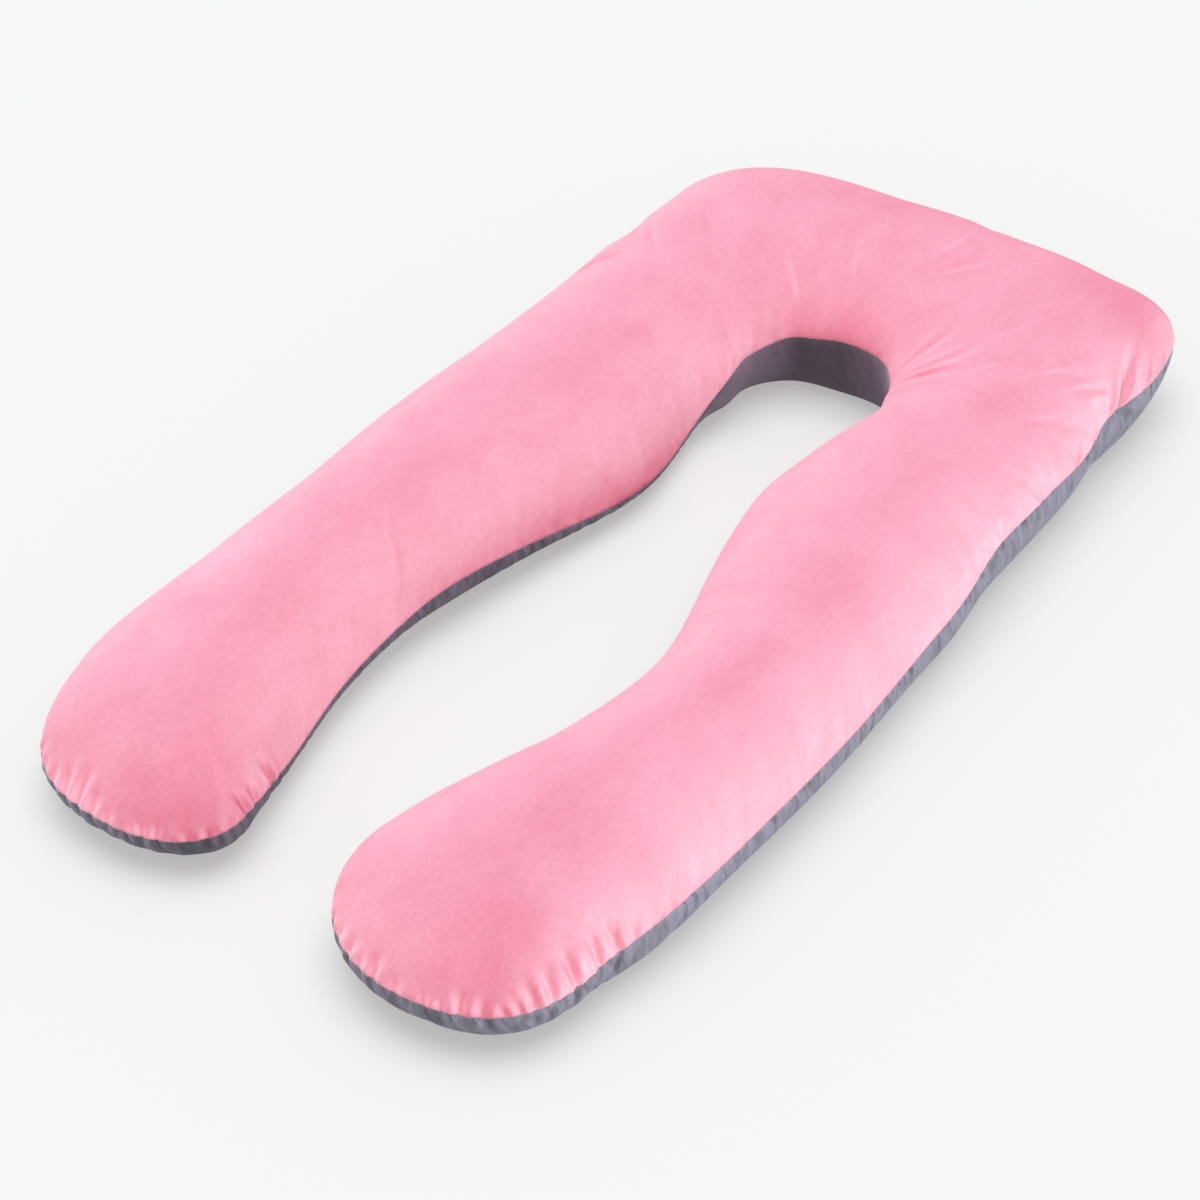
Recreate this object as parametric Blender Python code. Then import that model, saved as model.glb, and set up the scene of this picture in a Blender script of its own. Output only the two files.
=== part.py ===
"""U-shaped body pillow lying flat: two velour panels sewn edge to edge round a filling.

The pillow is a loft of sections that runs from the tip of one arm, round the closed
head end, to the tip of the other arm. A section joins a point of the inner seam to a
point of the outer seam. Above the seam lies the crowned upper half with the top panel,
and below it the lower half with the bottom panel, which tucks under to a flat face.

Frame: metres, +Z up, +Y towards the closed head end, origin on the surface the pillow
lies on, below the middle of its bounding box.
"""

import math
from typing import NamedTuple

import bmesh
import bpy
from mathutils import Vector

# ---------------------------------------------------------------- driving sizes, metres
LENGTH = 1.40               # head end to the longer arm's tip
WIDTH = 0.74                # across both arms
THICKNESS = 0.18            # highest point of the crown
PANEL_GAP = 0.0003          # between the two halves along the seam
CROWN_POWER = 1.2           # 1 is a half ellipse, more draws the crown in at the seam
OUTER_FOOT = 0.075          # from the outer seam in to where the underside lies flat
TIP_FOOT = 0.070            # the same at the round arm tips
SHOULDER = 0.140            # from a seam in to where the top has all its height
TIP_REACH_RIGHT = 0.142     # how far the round tip goes past the last section
TIP_REACH_LEFT = 0.102
TIP_FULLNESS = 2.3          # 2 is a half ellipse in plan, more is squarer

STEPS_PER_SECTION = 3       # rings between two rows of a table
TIP_RINGS = 5               # rings on each round tip
STEPS_ACROSS = 14           # strips from the inner seam to the outer seam

PINK = (0.94, 0.39, 0.50, 1.0)
BLUE_GREY = (0.26, 0.27, 0.33, 1.0)


class Section(NamedTuple):
    """One section of an arm: where its seams run and how high it stands."""

    inner_x: float      # inner seam, from the middle line outwards
    inner_y: float
    inner_seam: float   # height of the inner seam
    inner_foot: float   # from the inner seam in to where the underside lies flat
    outer_x: float      # outer seam, from the middle line outwards
    outer_y: float
    outer_seam: float   # height of the outer seam
    crown: float        # height of the top


#                inner_x inner_y  seam  foot    outer_x outer_y  seam  crown
HEAD = Section(  0.000,  0.416, 0.098, 0.040,   0.000,  0.688, 0.092, 0.178)

RIGHT_ARM = (
    Section(     0.030,  0.419, 0.098, 0.040,   0.140,  0.694, 0.092, 0.176),
    Section(     0.064,  0.408, 0.096, 0.045,   0.286,  0.688, 0.088, 0.172),
    Section(     0.098,  0.377, 0.094, 0.050,   0.341,  0.610, 0.082, 0.170),
    Section(     0.115,  0.312, 0.092, 0.060,   0.344,  0.462, 0.100, 0.168),
    Section(     0.098,  0.218, 0.090, 0.070,   0.352,  0.330, 0.086, 0.170),
    Section(     0.084,  0.114, 0.085, 0.075,   0.354,  0.190, 0.098, 0.170),
    Section(     0.105, -0.015, 0.080, 0.075,   0.362,  0.040, 0.070, 0.172),
    Section(     0.143, -0.154, 0.078, 0.075,   0.366, -0.140, 0.070, 0.175),
    Section(     0.144, -0.265, 0.076, 0.075,   0.365, -0.280, 0.072, 0.178),
    Section(     0.117, -0.381, 0.076, 0.075,   0.360, -0.390, 0.077, 0.180),
    Section(     0.070, -0.482, 0.072, 0.072,   0.350, -0.480, 0.075, 0.180),
    Section(     0.045, -0.575, 0.064, 0.070,   0.338, -0.555, 0.066, 0.176),
)

LEFT_ARM = (
    Section(     0.030,  0.411, 0.098, 0.040,   0.130,  0.685, 0.090, 0.178),
    Section(     0.056,  0.392, 0.096, 0.045,   0.252,  0.658, 0.088, 0.174),
    Section(     0.074,  0.358, 0.090, 0.055,   0.312,  0.592, 0.086, 0.172),
    Section(     0.078,  0.318, 0.082, 0.065,   0.324,  0.468, 0.082, 0.171),
    Section(     0.070,  0.235, 0.072, 0.075,   0.330,  0.335, 0.078, 0.173),
    Section(     0.060,  0.113, 0.062, 0.075,   0.343,  0.181, 0.074, 0.174),
    Section(     0.096, -0.030, 0.060, 0.075,   0.352,  0.012, 0.072, 0.176),
    Section(     0.135, -0.165, 0.060, 0.075,   0.355, -0.157, 0.070, 0.177),
    Section(     0.145, -0.266, 0.060, 0.075,   0.360, -0.290, 0.068, 0.179),
    Section(     0.137, -0.375, 0.060, 0.075,   0.368, -0.390, 0.066, 0.180),
    Section(     0.112, -0.482, 0.058, 0.072,   0.372, -0.480, 0.064, 0.180),
    Section(     0.097, -0.583, 0.054, 0.070,   0.363, -0.565, 0.060, 0.176),
)


# ---------------------------------------------------------------- smooth run of sections
def mirrored(row: Section) -> Section:
    """Return the section on the other side of the middle line."""
    return row._replace(inner_x=-row.inner_x, outer_x=-row.outer_x)


def between(a: float, b: float, c: float, d: float, t: float) -> float:
    """Return the smooth value between b and c (Catmull-Rom), t from 0 to 1."""
    bend = 2 * a - 5 * b + 4 * c - d
    turn = 3 * b - a - 3 * c + d
    return b + 0.5 * t * ((c - a) + t * (bend + t * turn))


def smooth_run(rows: list) -> list:
    """Return the rows with STEPS_PER_SECTION sections for each gap between two."""
    first = Section(*(2 * p - q for p, q in zip(rows[0], rows[1])))
    last = Section(*(2 * p - q for p, q in zip(rows[-1], rows[-2])))
    ends = [first] + list(rows) + [last]
    run = []
    for i in range(1, len(ends) - 2):
        for step in range(STEPS_PER_SECTION):
            t = step / STEPS_PER_SECTION
            four = zip(ends[i - 1], ends[i], ends[i + 1], ends[i + 2])
            run.append(Section(*(between(a, b, c, d, t) for a, b, c, d in four)))
    run.append(rows[-1])
    return run


# ---------------------------------------------------------------- heights over a section
def crown_height(row: Section, side: float, closeness: float) -> float:
    """Height of the upper skin: side runs -1..1 across, closeness is 0 mid, 1 at a seam."""
    seam = seam_height(row, side)
    rise = max(0.0, 1 - closeness * closeness) ** (CROWN_POWER / 2)
    return seam + (row.crown - seam) * rise


def seam_height(row: Section, side: float) -> float:
    """Height of the flat sheet between the inner and the outer seam."""
    return (row.inner_seam + row.outer_seam + side * (row.outer_seam - row.inner_seam)) / 2


def tuck(seam: float, foot: float, inwards: float) -> float:
    """Height of a rounded wall that leaves the seam upright and lies flat past its foot."""
    left = max(0.0, 1 - inwards / foot)
    return seam * (1 - math.sqrt(max(0.0, 1 - left * left)))


# ---------------------------------------------------------------- the grid of both skins
class Spot(NamedTuple):
    """One place of the grid: its plan and the three heights above it."""

    x: float
    y: float
    top: float
    seam: float
    base: float


def ring_across(row: Section) -> list:
    """Return the spots of one section from the inner seam to the outer seam."""
    half = math.hypot(row.outer_x - row.inner_x, row.outer_y - row.inner_y) / 2
    shoulder = min(half, SHOULDER)
    ring = []
    for i in range(STEPS_ACROSS + 1):
        side = math.sin((2 * i / STEPS_ACROSS - 1) * math.pi / 2)
        mix = (1 + side) / 2
        closeness = max(0.0, 1 - (1 - abs(side)) * half / shoulder)
        seam = seam_height(row, side)
        inner = tuck(seam, row.inner_foot, (1 + side) * half)
        outer = tuck(seam, OUTER_FOOT, (1 - side) * half)
        ring.append(Spot(
            row.inner_x + (row.outer_x - row.inner_x) * mix,
            row.inner_y + (row.outer_y - row.inner_y) * mix,
            crown_height(row, side, closeness), seam, max(inner, outer)))
    return ring


def tip_rings(row: Section, reach: float) -> list:
    """Return the rings of a round tip that carries on from the last section."""
    inner = Vector((row.inner_x, row.inner_y))
    outer = Vector((row.outer_x, row.outer_y))
    middle = (inner + outer) / 2
    across = (outer - inner) / 2
    ahead = Vector((0.0, -1.0))
    rings = []
    for k in range(1, TIP_RINGS + 1):
        out = k / TIP_RINGS
        ring = []
        for i in range(STEPS_ACROSS + 1):
            flat = 2 * i / STEPS_ACROSS - 1
            # a square sheet of rings mapped on to a disc, then eased towards its rim
            u = flat * math.sqrt(1 - out * out / 2)
            v = out * math.sqrt(1 - flat * flat / 2)
            radius = min(1.0, math.hypot(u, v))
            ease = math.sin(radius * math.pi / 2) / radius if radius > 1e-9 else math.pi / 2
            u, v = u * ease, v * ease
            # rounder or squarer plan, with the rim kept where the side walls end
            size = math.hypot(u, v)
            fuller = size ** TIP_FULLNESS
            norm = (abs(u) ** TIP_FULLNESS + abs(v) ** TIP_FULLNESS)
            swell = (fuller / norm) ** (1 / TIP_FULLNESS) if norm > 1e-12 else 1.0
            place = middle + across * u * swell + ahead * reach * v * swell
            seam = seam_height(row, u)
            base = tuck(seam, TIP_FOOT, (1 - size) * across.length)
            ring.append(Spot(place.x, place.y, crown_height(row, u, size), seam, base))
        rings.append(ring)
    return rings


def pillow_grid() -> list:
    """Return every ring, from the left arm's tip round the head to the right arm's tip."""
    left = [mirrored(row) for row in LEFT_ARM]
    rows = smooth_run(list(reversed(left)) + [HEAD] + list(RIGHT_ARM))
    start = list(reversed(tip_rings(rows[0], TIP_REACH_LEFT)))
    end = tip_rings(rows[-1], TIP_REACH_RIGHT)
    return to_size(start + [ring_across(row) for row in rows] + end)


def to_size(grid: list) -> list:
    """Return the grid at exactly WIDTH, LENGTH and THICKNESS, centred over the origin."""
    xs = [spot.x for ring in grid for spot in ring]
    ys = [spot.y for ring in grid for spot in ring]
    mid_x, mid_y = (min(xs) + max(xs)) / 2, (min(ys) + max(ys)) / 2
    wide, long = WIDTH / (max(xs) - min(xs)), LENGTH / (max(ys) - min(ys))
    high = THICKNESS / max(spot.top for ring in grid for spot in ring)
    return [[Spot((spot.x - mid_x) * wide, (spot.y - mid_y) * long,
                  spot.top * high, spot.seam * high, spot.base * high)
             for spot in ring] for ring in grid]


# ---------------------------------------------------------------- closed halves
def half_pillow(name: str, grid: list, upper: bool, material, collection):
    """Make one filled half: its curved skin and the sheet it meets the other half with."""
    mesh_data = bmesh.new()
    lift = PANEL_GAP / 2 if upper else -PANEL_GAP / 2
    last = STEPS_ACROSS
    skin = []
    for r, ring in enumerate(grid):
        line = []
        for i, spot in enumerate(ring):
            rim = i in (0, last) or r in (0, len(grid) - 1)
            height = spot.seam + lift if rim else (spot.top if upper else spot.base)
            line.append(mesh_data.verts.new((spot.x, spot.y, height)))
        skin.append(line)
    for r in range(len(grid) - 1):
        for i in range(last):
            corners = (skin[r][i], skin[r][i + 1], skin[r + 1][i + 1], skin[r + 1][i])
            mesh_data.faces.new(corners if upper else corners[::-1])

    # the sheet between the halves: strips along the arms, a fan at each round tip
    def sheet(a, b, c):
        mesh_data.faces.new((a, c, b) if upper else (a, b, c))

    first_arm, last_arm = TIP_RINGS, len(grid) - 1 - TIP_RINGS
    for r in range(first_arm, last_arm):
        sheet(skin[r][0], skin[r][last], skin[r + 1][last])
        sheet(skin[r][0], skin[r + 1][last], skin[r + 1][0])
    for end, mouth, rings in ((0, first_arm, range(first_arm, -1, -1)),
                              (len(grid) - 1, last_arm, range(last_arm, len(grid)))):
        rings = list(rings)
        edge = [skin[r][0] for r in rings]
        edge += skin[end][1:last]
        edge += [skin[r][last] for r in reversed(rings)]
        centre = grid[(end + mouth) // 2][last // 2]
        hub = mesh_data.verts.new((centre.x, centre.y, centre.seam + lift))
        loop = edge + [edge[0]]
        for a, b in zip(loop, loop[1:]):
            if end == 0:
                sheet(hub, b, a)
            else:
                sheet(hub, a, b)

    bmesh.ops.recalc_face_normals(mesh_data, faces=mesh_data.faces)
    mesh = bpy.data.meshes.new(name)
    mesh_data.to_mesh(mesh)
    mesh_data.free()
    mesh.materials.append(material)
    mesh.shade_smooth()
    mesh.set_sharp_from_angle(angle=math.radians(50))
    part = bpy.data.objects.new(name, mesh)
    collection.objects.link(part)
    return part


def velour(name: str, colour: tuple):
    """Return a soft matt cloth material."""
    material = bpy.data.materials.new(name)
    material.use_nodes = True
    shader = material.node_tree.nodes["Principled BSDF"]
    shader.inputs["Base Color"].default_value = colour
    shader.inputs["Roughness"].default_value = 0.9
    shader.inputs["Metallic"].default_value = 0.0
    return material


def main() -> None:
    """Build the pillow: two halves in a collection of their own."""
    for old in list(bpy.data.objects):
        bpy.data.objects.remove(old)
    pillow = bpy.data.collections.new("Body_Pillow")
    bpy.context.scene.collection.children.link(pillow)
    grid = pillow_grid()
    half_pillow("Top_Panel", grid, True, velour("Pink_Velour", PINK), pillow)
    half_pillow("Bottom_Panel", grid, False, velour("Grey_Velour", BLUE_GREY), pillow)


main()
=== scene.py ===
import logging
import math
from dataclasses import dataclass, field
from enum import Enum
from typing import NamedTuple

import bmesh
import bpy
import numpy as np
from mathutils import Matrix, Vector
from mathutils.kdtree import KDTree


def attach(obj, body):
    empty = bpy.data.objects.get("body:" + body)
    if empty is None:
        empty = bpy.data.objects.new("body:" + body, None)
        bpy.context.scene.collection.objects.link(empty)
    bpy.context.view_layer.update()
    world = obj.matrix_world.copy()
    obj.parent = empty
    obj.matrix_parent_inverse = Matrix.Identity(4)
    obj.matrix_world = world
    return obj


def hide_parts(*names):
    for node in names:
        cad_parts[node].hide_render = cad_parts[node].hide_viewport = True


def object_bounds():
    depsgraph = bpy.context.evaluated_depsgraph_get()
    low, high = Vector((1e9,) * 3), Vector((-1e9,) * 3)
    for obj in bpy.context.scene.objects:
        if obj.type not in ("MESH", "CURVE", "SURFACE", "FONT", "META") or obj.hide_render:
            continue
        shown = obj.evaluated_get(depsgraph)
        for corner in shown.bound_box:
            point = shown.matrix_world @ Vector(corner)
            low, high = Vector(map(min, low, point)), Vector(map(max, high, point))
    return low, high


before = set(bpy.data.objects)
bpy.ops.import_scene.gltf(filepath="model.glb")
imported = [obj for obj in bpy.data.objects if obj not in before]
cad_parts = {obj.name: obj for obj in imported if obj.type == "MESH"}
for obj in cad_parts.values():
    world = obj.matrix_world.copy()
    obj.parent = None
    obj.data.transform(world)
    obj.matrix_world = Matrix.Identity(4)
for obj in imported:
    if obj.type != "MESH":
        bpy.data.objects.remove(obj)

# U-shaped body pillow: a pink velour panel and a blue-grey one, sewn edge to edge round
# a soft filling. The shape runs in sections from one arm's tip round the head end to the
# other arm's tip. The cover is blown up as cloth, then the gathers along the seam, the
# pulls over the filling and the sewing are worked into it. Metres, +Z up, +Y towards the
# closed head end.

log = logging.getLogger("body_pillow")
CAD_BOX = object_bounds()
WIDTH, LENGTH, THICKNESS = (round(float(high - low), 4) for low, high in zip(*CAD_BOX))
WHITE = (1.0, 1.0, 1.0, 1.0)
Array = np.ndarray


# ------------------------------------------------------------------ the lying shape
class Section(NamedTuple):
    """One section of an arm: where its seams run and how high it stands."""

    inner_x: float
    inner_y: float
    inner_seam: float
    inner_foot: float
    outer_x: float
    outer_y: float
    outer_seam: float
    crown: float
    outer_foot: float


# Where a row of numbers holds each of them, and the edges of a grid of places.
AT = {name: number for number, name in enumerate(Section._fields)}
INNER = slice(AT["inner_x"], AT["inner_y"] + 1)
OUTER = slice(AT["outer_x"], AT["outer_y"] + 1)
BOTH_Y = [AT["inner_y"], AT["outer_y"]]
FEET = [AT["inner_foot"], AT["outer_foot"]]
EDGES = (np.s_[0, :], np.s_[-1, :], np.s_[:, 0], np.s_[:, -1])

HEAD = Section(inner_x=0.000, inner_y=0.418, inner_seam=0.100, inner_foot=0.036,
               outer_x=0.000, outer_y=0.692, outer_seam=0.092, crown=0.181, outer_foot=0.070)

RIGHT_ARM = tuple(Section(*row) for row in (
    # inner_x  inner_y   seam   foot  outer_x  outer_y   seam  crown   foot
    (   0.034,   0.422, 0.101, 0.036,   0.140,   0.695, 0.096, 0.181, 0.070),
    (   0.074,   0.411, 0.102, 0.042,   0.262,   0.692, 0.093, 0.174, 0.070),
    (   0.090,   0.397, 0.100, 0.050,   0.321,   0.664, 0.092, 0.171, 0.075),
    (   0.104,   0.376, 0.098, 0.050,   0.340,   0.609, 0.088, 0.168, 0.075),
    (   0.112,   0.346, 0.096, 0.052,   0.345,   0.535, 0.095, 0.166, 0.066),
    (   0.116,   0.312, 0.092, 0.054,   0.343,   0.462, 0.101, 0.165, 0.062),
    (   0.107,   0.265, 0.092, 0.055,   0.348,   0.405, 0.091, 0.167, 0.055),
    (   0.096,   0.218, 0.091, 0.055,   0.350,   0.330, 0.094, 0.170, 0.048),
    (   0.088,   0.166, 0.089, 0.055,   0.351,   0.270, 0.097, 0.170, 0.048),
    (   0.083,   0.114, 0.087, 0.055,   0.352,   0.190, 0.099, 0.170, 0.044),
    (   0.092,   0.050, 0.084, 0.055,   0.358,   0.115, 0.085, 0.171, 0.038),
    (   0.106,  -0.015, 0.081, 0.055,   0.360,   0.035, 0.077, 0.173, 0.040),
    (   0.142,  -0.154, 0.081, 0.055,   0.366,  -0.140, 0.073, 0.179, 0.044),
    (   0.143,  -0.265, 0.079, 0.055,   0.364,  -0.280, 0.074, 0.182, 0.048),
    (   0.115,  -0.380, 0.079, 0.055,   0.360,  -0.390, 0.074, 0.183, 0.050),
    (   0.072,  -0.483, 0.073, 0.055,   0.352,  -0.480, 0.073, 0.184, 0.040),
    (   0.047,  -0.575, 0.066, 0.036,   0.336,  -0.555, 0.066, 0.183, 0.050),
))

LEFT_ARM = tuple(Section(*row) for row in (
    # inner_x  inner_y   seam   foot  outer_x  outer_y   seam  crown   foot
    (   0.029,   0.409, 0.097, 0.045,   0.131,   0.689, 0.089, 0.180, 0.070),
    (   0.056,   0.392, 0.093, 0.050,   0.251,   0.656, 0.088, 0.175, 0.065),
    (   0.074,   0.358, 0.086, 0.058,   0.310,   0.591, 0.085, 0.168, 0.060),
    (   0.077,   0.318, 0.078, 0.050,   0.323,   0.468, 0.080, 0.171, 0.055),
    (   0.085,   0.292, 0.055, 0.060,   0.327,   0.402, 0.079, 0.172, 0.055),
    (   0.091,   0.262, 0.034, 0.070,   0.331,   0.335, 0.079, 0.173, 0.055),
    (   0.077,   0.138, 0.030, 0.080,   0.342,   0.181, 0.076, 0.175, 0.055),
    (   0.104,  -0.016, 0.047, 0.075,   0.354,   0.012, 0.074, 0.178, 0.055),
    (   0.135,  -0.165, 0.061, 0.070,   0.356,  -0.157, 0.070, 0.179, 0.055),
    (   0.149,  -0.258, 0.050, 0.075,   0.358,  -0.290, 0.068, 0.181, 0.055),
    (   0.145,  -0.360, 0.042, 0.080,   0.366,  -0.390, 0.064, 0.183, 0.060),
    (   0.127,  -0.460, 0.036, 0.080,   0.372,  -0.480, 0.063, 0.187, 0.065),
    (   0.098,  -0.583, 0.056, 0.042,   0.362,  -0.565, 0.060, 0.192, 0.080),
))


class Side(Enum):
    """The two panels of the cover."""

    TOP = 1
    BOTTOM = -1


@dataclass
class PillowForm:
    """The lying shape of the filled cover, as a grid of rings and places across."""

    length: float = LENGTH
    width: float = WIDTH
    thickness: float = THICKNESS
    crowding: float = 0.3
    rise_power: float = 0.6
    fullness: float = 0.3
    broad_from: float = 0.140
    broad_fullness: float = 18.0
    tip_reach_right: float = 0.147
    tip_reach_left: float = 0.105
    tip_lean_right: float = 0.013
    tip_lean_left: float = 0.003
    tip_foot_right: float = 0.080
    tip_foot_left: float = 0.095
    tip_turn_right: float = 1.6
    tip_turn_left: float = 0.6
    tip_fullness: float = 2.26
    rings: int = 860
    tip_rings: int = 48
    across: int = 96
    plan: Array = field(init=False)
    top: Array = field(init=False)
    seam: Array = field(init=False)
    base: Array = field(init=False)

    def __post_init__(self) -> None:
        """Work out the grid."""
        left = [row._replace(inner_x=-row.inner_x, outer_x=-row.outer_x) for row in LEFT_ARM]
        knots = np.array(list(reversed(left)) + [HEAD] + list(RIGHT_ARM))
        rows = self._smooth_run(knots, self.rings, self.crowding)
        start = self._tip(rows[0], rows[1], self.tip_reach_left, self.tip_lean_left,
                          self.tip_foot_left, self.tip_turn_left)
        end = self._tip(rows[-1], rows[-2], self.tip_reach_right, self.tip_lean_right,
                        self.tip_foot_right, self.tip_turn_right)
        body = self._body(rows)
        grids = [np.concatenate([a[::-1], b, c]) for a, b, c in zip(start, body, end)]
        self.plan, self.top, self.seam, self.base = grids
        low, high = self.plan.min(axis=(0, 1)), self.plan.max(axis=(0, 1))
        size = np.array([self.width, self.length])
        self.plan = (self.plan - (low + high) / 2) * size / (high - low)
        lift = self.thickness / self.top.max()
        self.top, self.seam, self.base = self.top * lift, self.seam * lift, self.base * lift

    @staticmethod
    def _smooth_run(knots: Array, count: int, crowding: float) -> Array:
        """Read a natural cubic spline through the rows, closer together near the tips.

        Args:
            knots: one row of numbers for each section.
            count: how many sections to return.
            crowding: how much closer together they are near the tips, 0 for evenly.

        Returns:
            The sections, count rows.
        """
        inner = np.hypot(*np.diff(knots[:, INNER], axis=0).T)
        outer = np.hypot(*np.diff(knots[:, OUTER], axis=0).T)
        at = np.concatenate([[0.0], np.cumsum(np.maximum(inner, outer))])
        gap = np.diff(at)
        n = len(knots)
        system, slopes = np.eye(n), np.zeros_like(knots)
        for i in range(1, n - 1):
            system[i, i - 1:i + 2] = gap[i - 1], 2 * (gap[i - 1] + gap[i]), gap[i]
            slopes[i] = 6 * ((knots[i + 1] - knots[i]) / gap[i]
                             - (knots[i] - knots[i - 1]) / gap[i - 1])
        bend = np.linalg.solve(system, slopes)
        even = np.linspace(0.0, 1.0, count)
        where = at[-1] * (even - crowding * np.sin(2 * math.pi * even) / (2 * math.pi))
        i = np.clip(np.searchsorted(at, where, side="right") - 1, 0, n - 2)
        h = gap[i][:, None]
        b = ((where - at[i])[:, None]) / h
        a = 1 - b
        curve = a * knots[i] + b * knots[i + 1]
        return curve + ((a ** 3 - a) * bend[i] + (b ** 3 - b) * bend[i + 1]) * h * h / 6

    def _skins(self, row: Array, side: Array, half: Array, ways: list) -> tuple:
        """Heights of the three sheets over one or more sections.

        Args:
            row: the section numbers, last axis as in Section.
            side: -1 at the inner seam to 1 at the outer seam.
            half: half the section's width.
            ways: distances to the seam in each direction that has one.

        Returns:
            Heights of the upper skin, the sheet at the seam, and the lower skin.
        """
        margin = sum(np.clip(way, 1e-6, None) ** -2.0 for way in ways) ** -0.5
        share = margin * math.sqrt(2) / half
        full = self.fullness + self.broad_fullness * np.clip(half - self.broad_from, 0, None)
        seam = self._across(row, "seam", side)
        rise = (share * (1 + full * (1 - share))) ** self.rise_power
        left = np.clip(1 - margin / self._across(row, "foot", side), 0, None)
        base = seam * (1 - np.sqrt(np.clip(1 - left ** 2, 0, None)))
        return seam + (row[..., AT["crown"]] - seam) * rise, seam, base

    @staticmethod
    def _across(row: Array, what: str, side: Array) -> Array:
        """Read one of the sections' numbers from the inner seam over to the outer one.

        Args:
            row: the section numbers, last axis as in Section.
            what: which number, "seam" or "foot".
            side: -1 at the inner seam to 1 at the outer seam.

        Returns:
            The number at each place.
        """
        inner, outer = row[..., AT["inner_" + what]], row[..., AT["outer_" + what]]
        return (inner + outer + side * (outer - inner)) / 2

    def _body(self, rows: Array) -> tuple:
        """Grid of the arms and the head end.

        Args:
            rows: the sections from tip to tip.

        Returns:
            Plan, top, seam and base.
        """
        inner, outer = rows[:, None, INNER], rows[:, None, OUTER]
        half = np.linalg.norm(outer - inner, axis=-1) / 2
        side = np.sin(np.linspace(-1, 1, self.across + 1) * math.pi / 2)[None, :]
        plan = inner + (outer - inner) * ((1 + side) / 2)[..., None]
        middle = (rows[:, INNER] + rows[:, OUTER]) / 2
        run = np.concatenate([[0.0], np.cumsum(np.hypot(*np.diff(middle, axis=0).T))])[:, None]
        round_end = self._round(np.abs(side))
        ways = [(1 + side) * half, (1 - side) * half,
                run + self.tip_reach_left * round_end,
                run[-1] - run + self.tip_reach_right * round_end]
        return (plan,) + self._skins(rows[:, None, :], side, half, ways)

    def _round(self, share: Array) -> Array:
        """How far a tip reaches at a share of its half width, as a share of its reach."""
        return np.clip(1 - share ** self.tip_fullness, 0, None) ** (1 / self.tip_fullness)

    def _tip(self, row: Array, before: Array, reach: float, lean: float,
             foot: float, turn: float) -> tuple:
        """Grid of a round tip that carries on from the last section of an arm.

        Args:
            row: the last section.
            before: the section just before it, which gives the way the arm is going.
            reach: how far the tip reaches past the last section.
            lean: how far its end leans aside.
            foot: how far in from its end it comes down to the floor.
            turn: how late it takes on that foot; below 1 is early.

        Returns:
            The tip's plan, top, seam and base.
        """
        out = (np.arange(1, self.tip_rings + 1) / self.tip_rings)[:, None]
        flat = np.linspace(-1, 1, self.across + 1)[None, :]
        u = flat * np.sqrt(1 - out ** 2 / 2)
        v = out * np.sqrt(1 - flat ** 2 / 2)
        radius = np.clip(np.hypot(u, v), 1e-9, 1)
        ease = np.sin(radius * math.pi / 2) / radius
        u, v = u * ease, v * ease
        size = np.hypot(u, v)
        full = self.tip_fullness
        swell = size / np.clip(np.abs(u) ** full + np.abs(v) ** full, 1e-12, None) ** (1 / full)
        u, v = u * swell, v * swell
        (back_in, back_out), (here_in, here_out) = before[BOTH_Y], row[BOTH_Y]
        rate = (row - before) / (back_in + back_out - here_in - here_out) * 2
        rate[BOTH_Y] += 1
        carried = row + rate * (reach * v * (1 - v) ** 2)[..., None]
        carried[..., FEET] += (foot - carried[..., FEET]) * (v ** turn)[..., None]
        inner, outer = carried[..., INNER], carried[..., OUTER]
        across = (outer - inner) / 2
        half = np.linalg.norm(across, axis=-1)
        ahead = np.stack([lean * v, -reach * v], axis=-1)
        plan = (inner + outer) / 2 + across * u[..., None] + ahead
        wide = self._round(v)
        ways = [(wide + u) * half, (wide - u) * half, (self._round(np.abs(u)) - v) * reach]
        return (plan,) + self._skins(carried, u, half, ways)

    def skin(self, side: Side) -> Array:
        """Places of one panel's skin.

        Args:
            side: which panel.

        Returns:
            The places, rings by places across by xyz.
        """
        height = (self.top if side is Side.TOP else self.base).copy()
        for edge in EDGES:
            height[edge] = self.seam[edge]
        return np.dstack([self.plan, height])


def loop_of(grid: Array) -> Array:
    """Read a grid once round, clockwise from above, starting at the left tip.

    Args:
        grid: rings by places across by anything.

    Returns:
        The values of the closed loop.
    """
    return np.concatenate([grid[:, -1], grid[-1, -2:0:-1], grid[::-1, 0], grid[0, 1:-1]])


def unit(vectors: Array) -> Array:
    """Vectors of length 1 that point the same way as the given ones."""
    return vectors / np.clip(np.linalg.norm(vectors, axis=-1, keepdims=True), 1e-12, None)


def grid_normals(places: Array) -> Array:
    """Unit normals of a grid of places, upwards for a sheet lying flat.

    Args:
        places: rings by places across by xyz.

    Returns:
        The same shape, unit vectors.
    """
    along = np.gradient(places, axis=0)
    across = np.gradient(places, axis=1)
    return unit(np.cross(along, across))


def facing_out(rim: Array) -> Array:
    """Read which way a loop faces, seen from above.

    Args:
        rim: places round the loop, clockwise.

    Returns:
        Level unit vectors pointing out of the loop, one for each place.
    """
    ahead = np.roll(rim, -1, axis=0) - np.roll(rim, 1, axis=0)
    return unit(np.stack([-ahead[:, 1], ahead[:, 0], np.zeros(len(rim))], axis=1))


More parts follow.
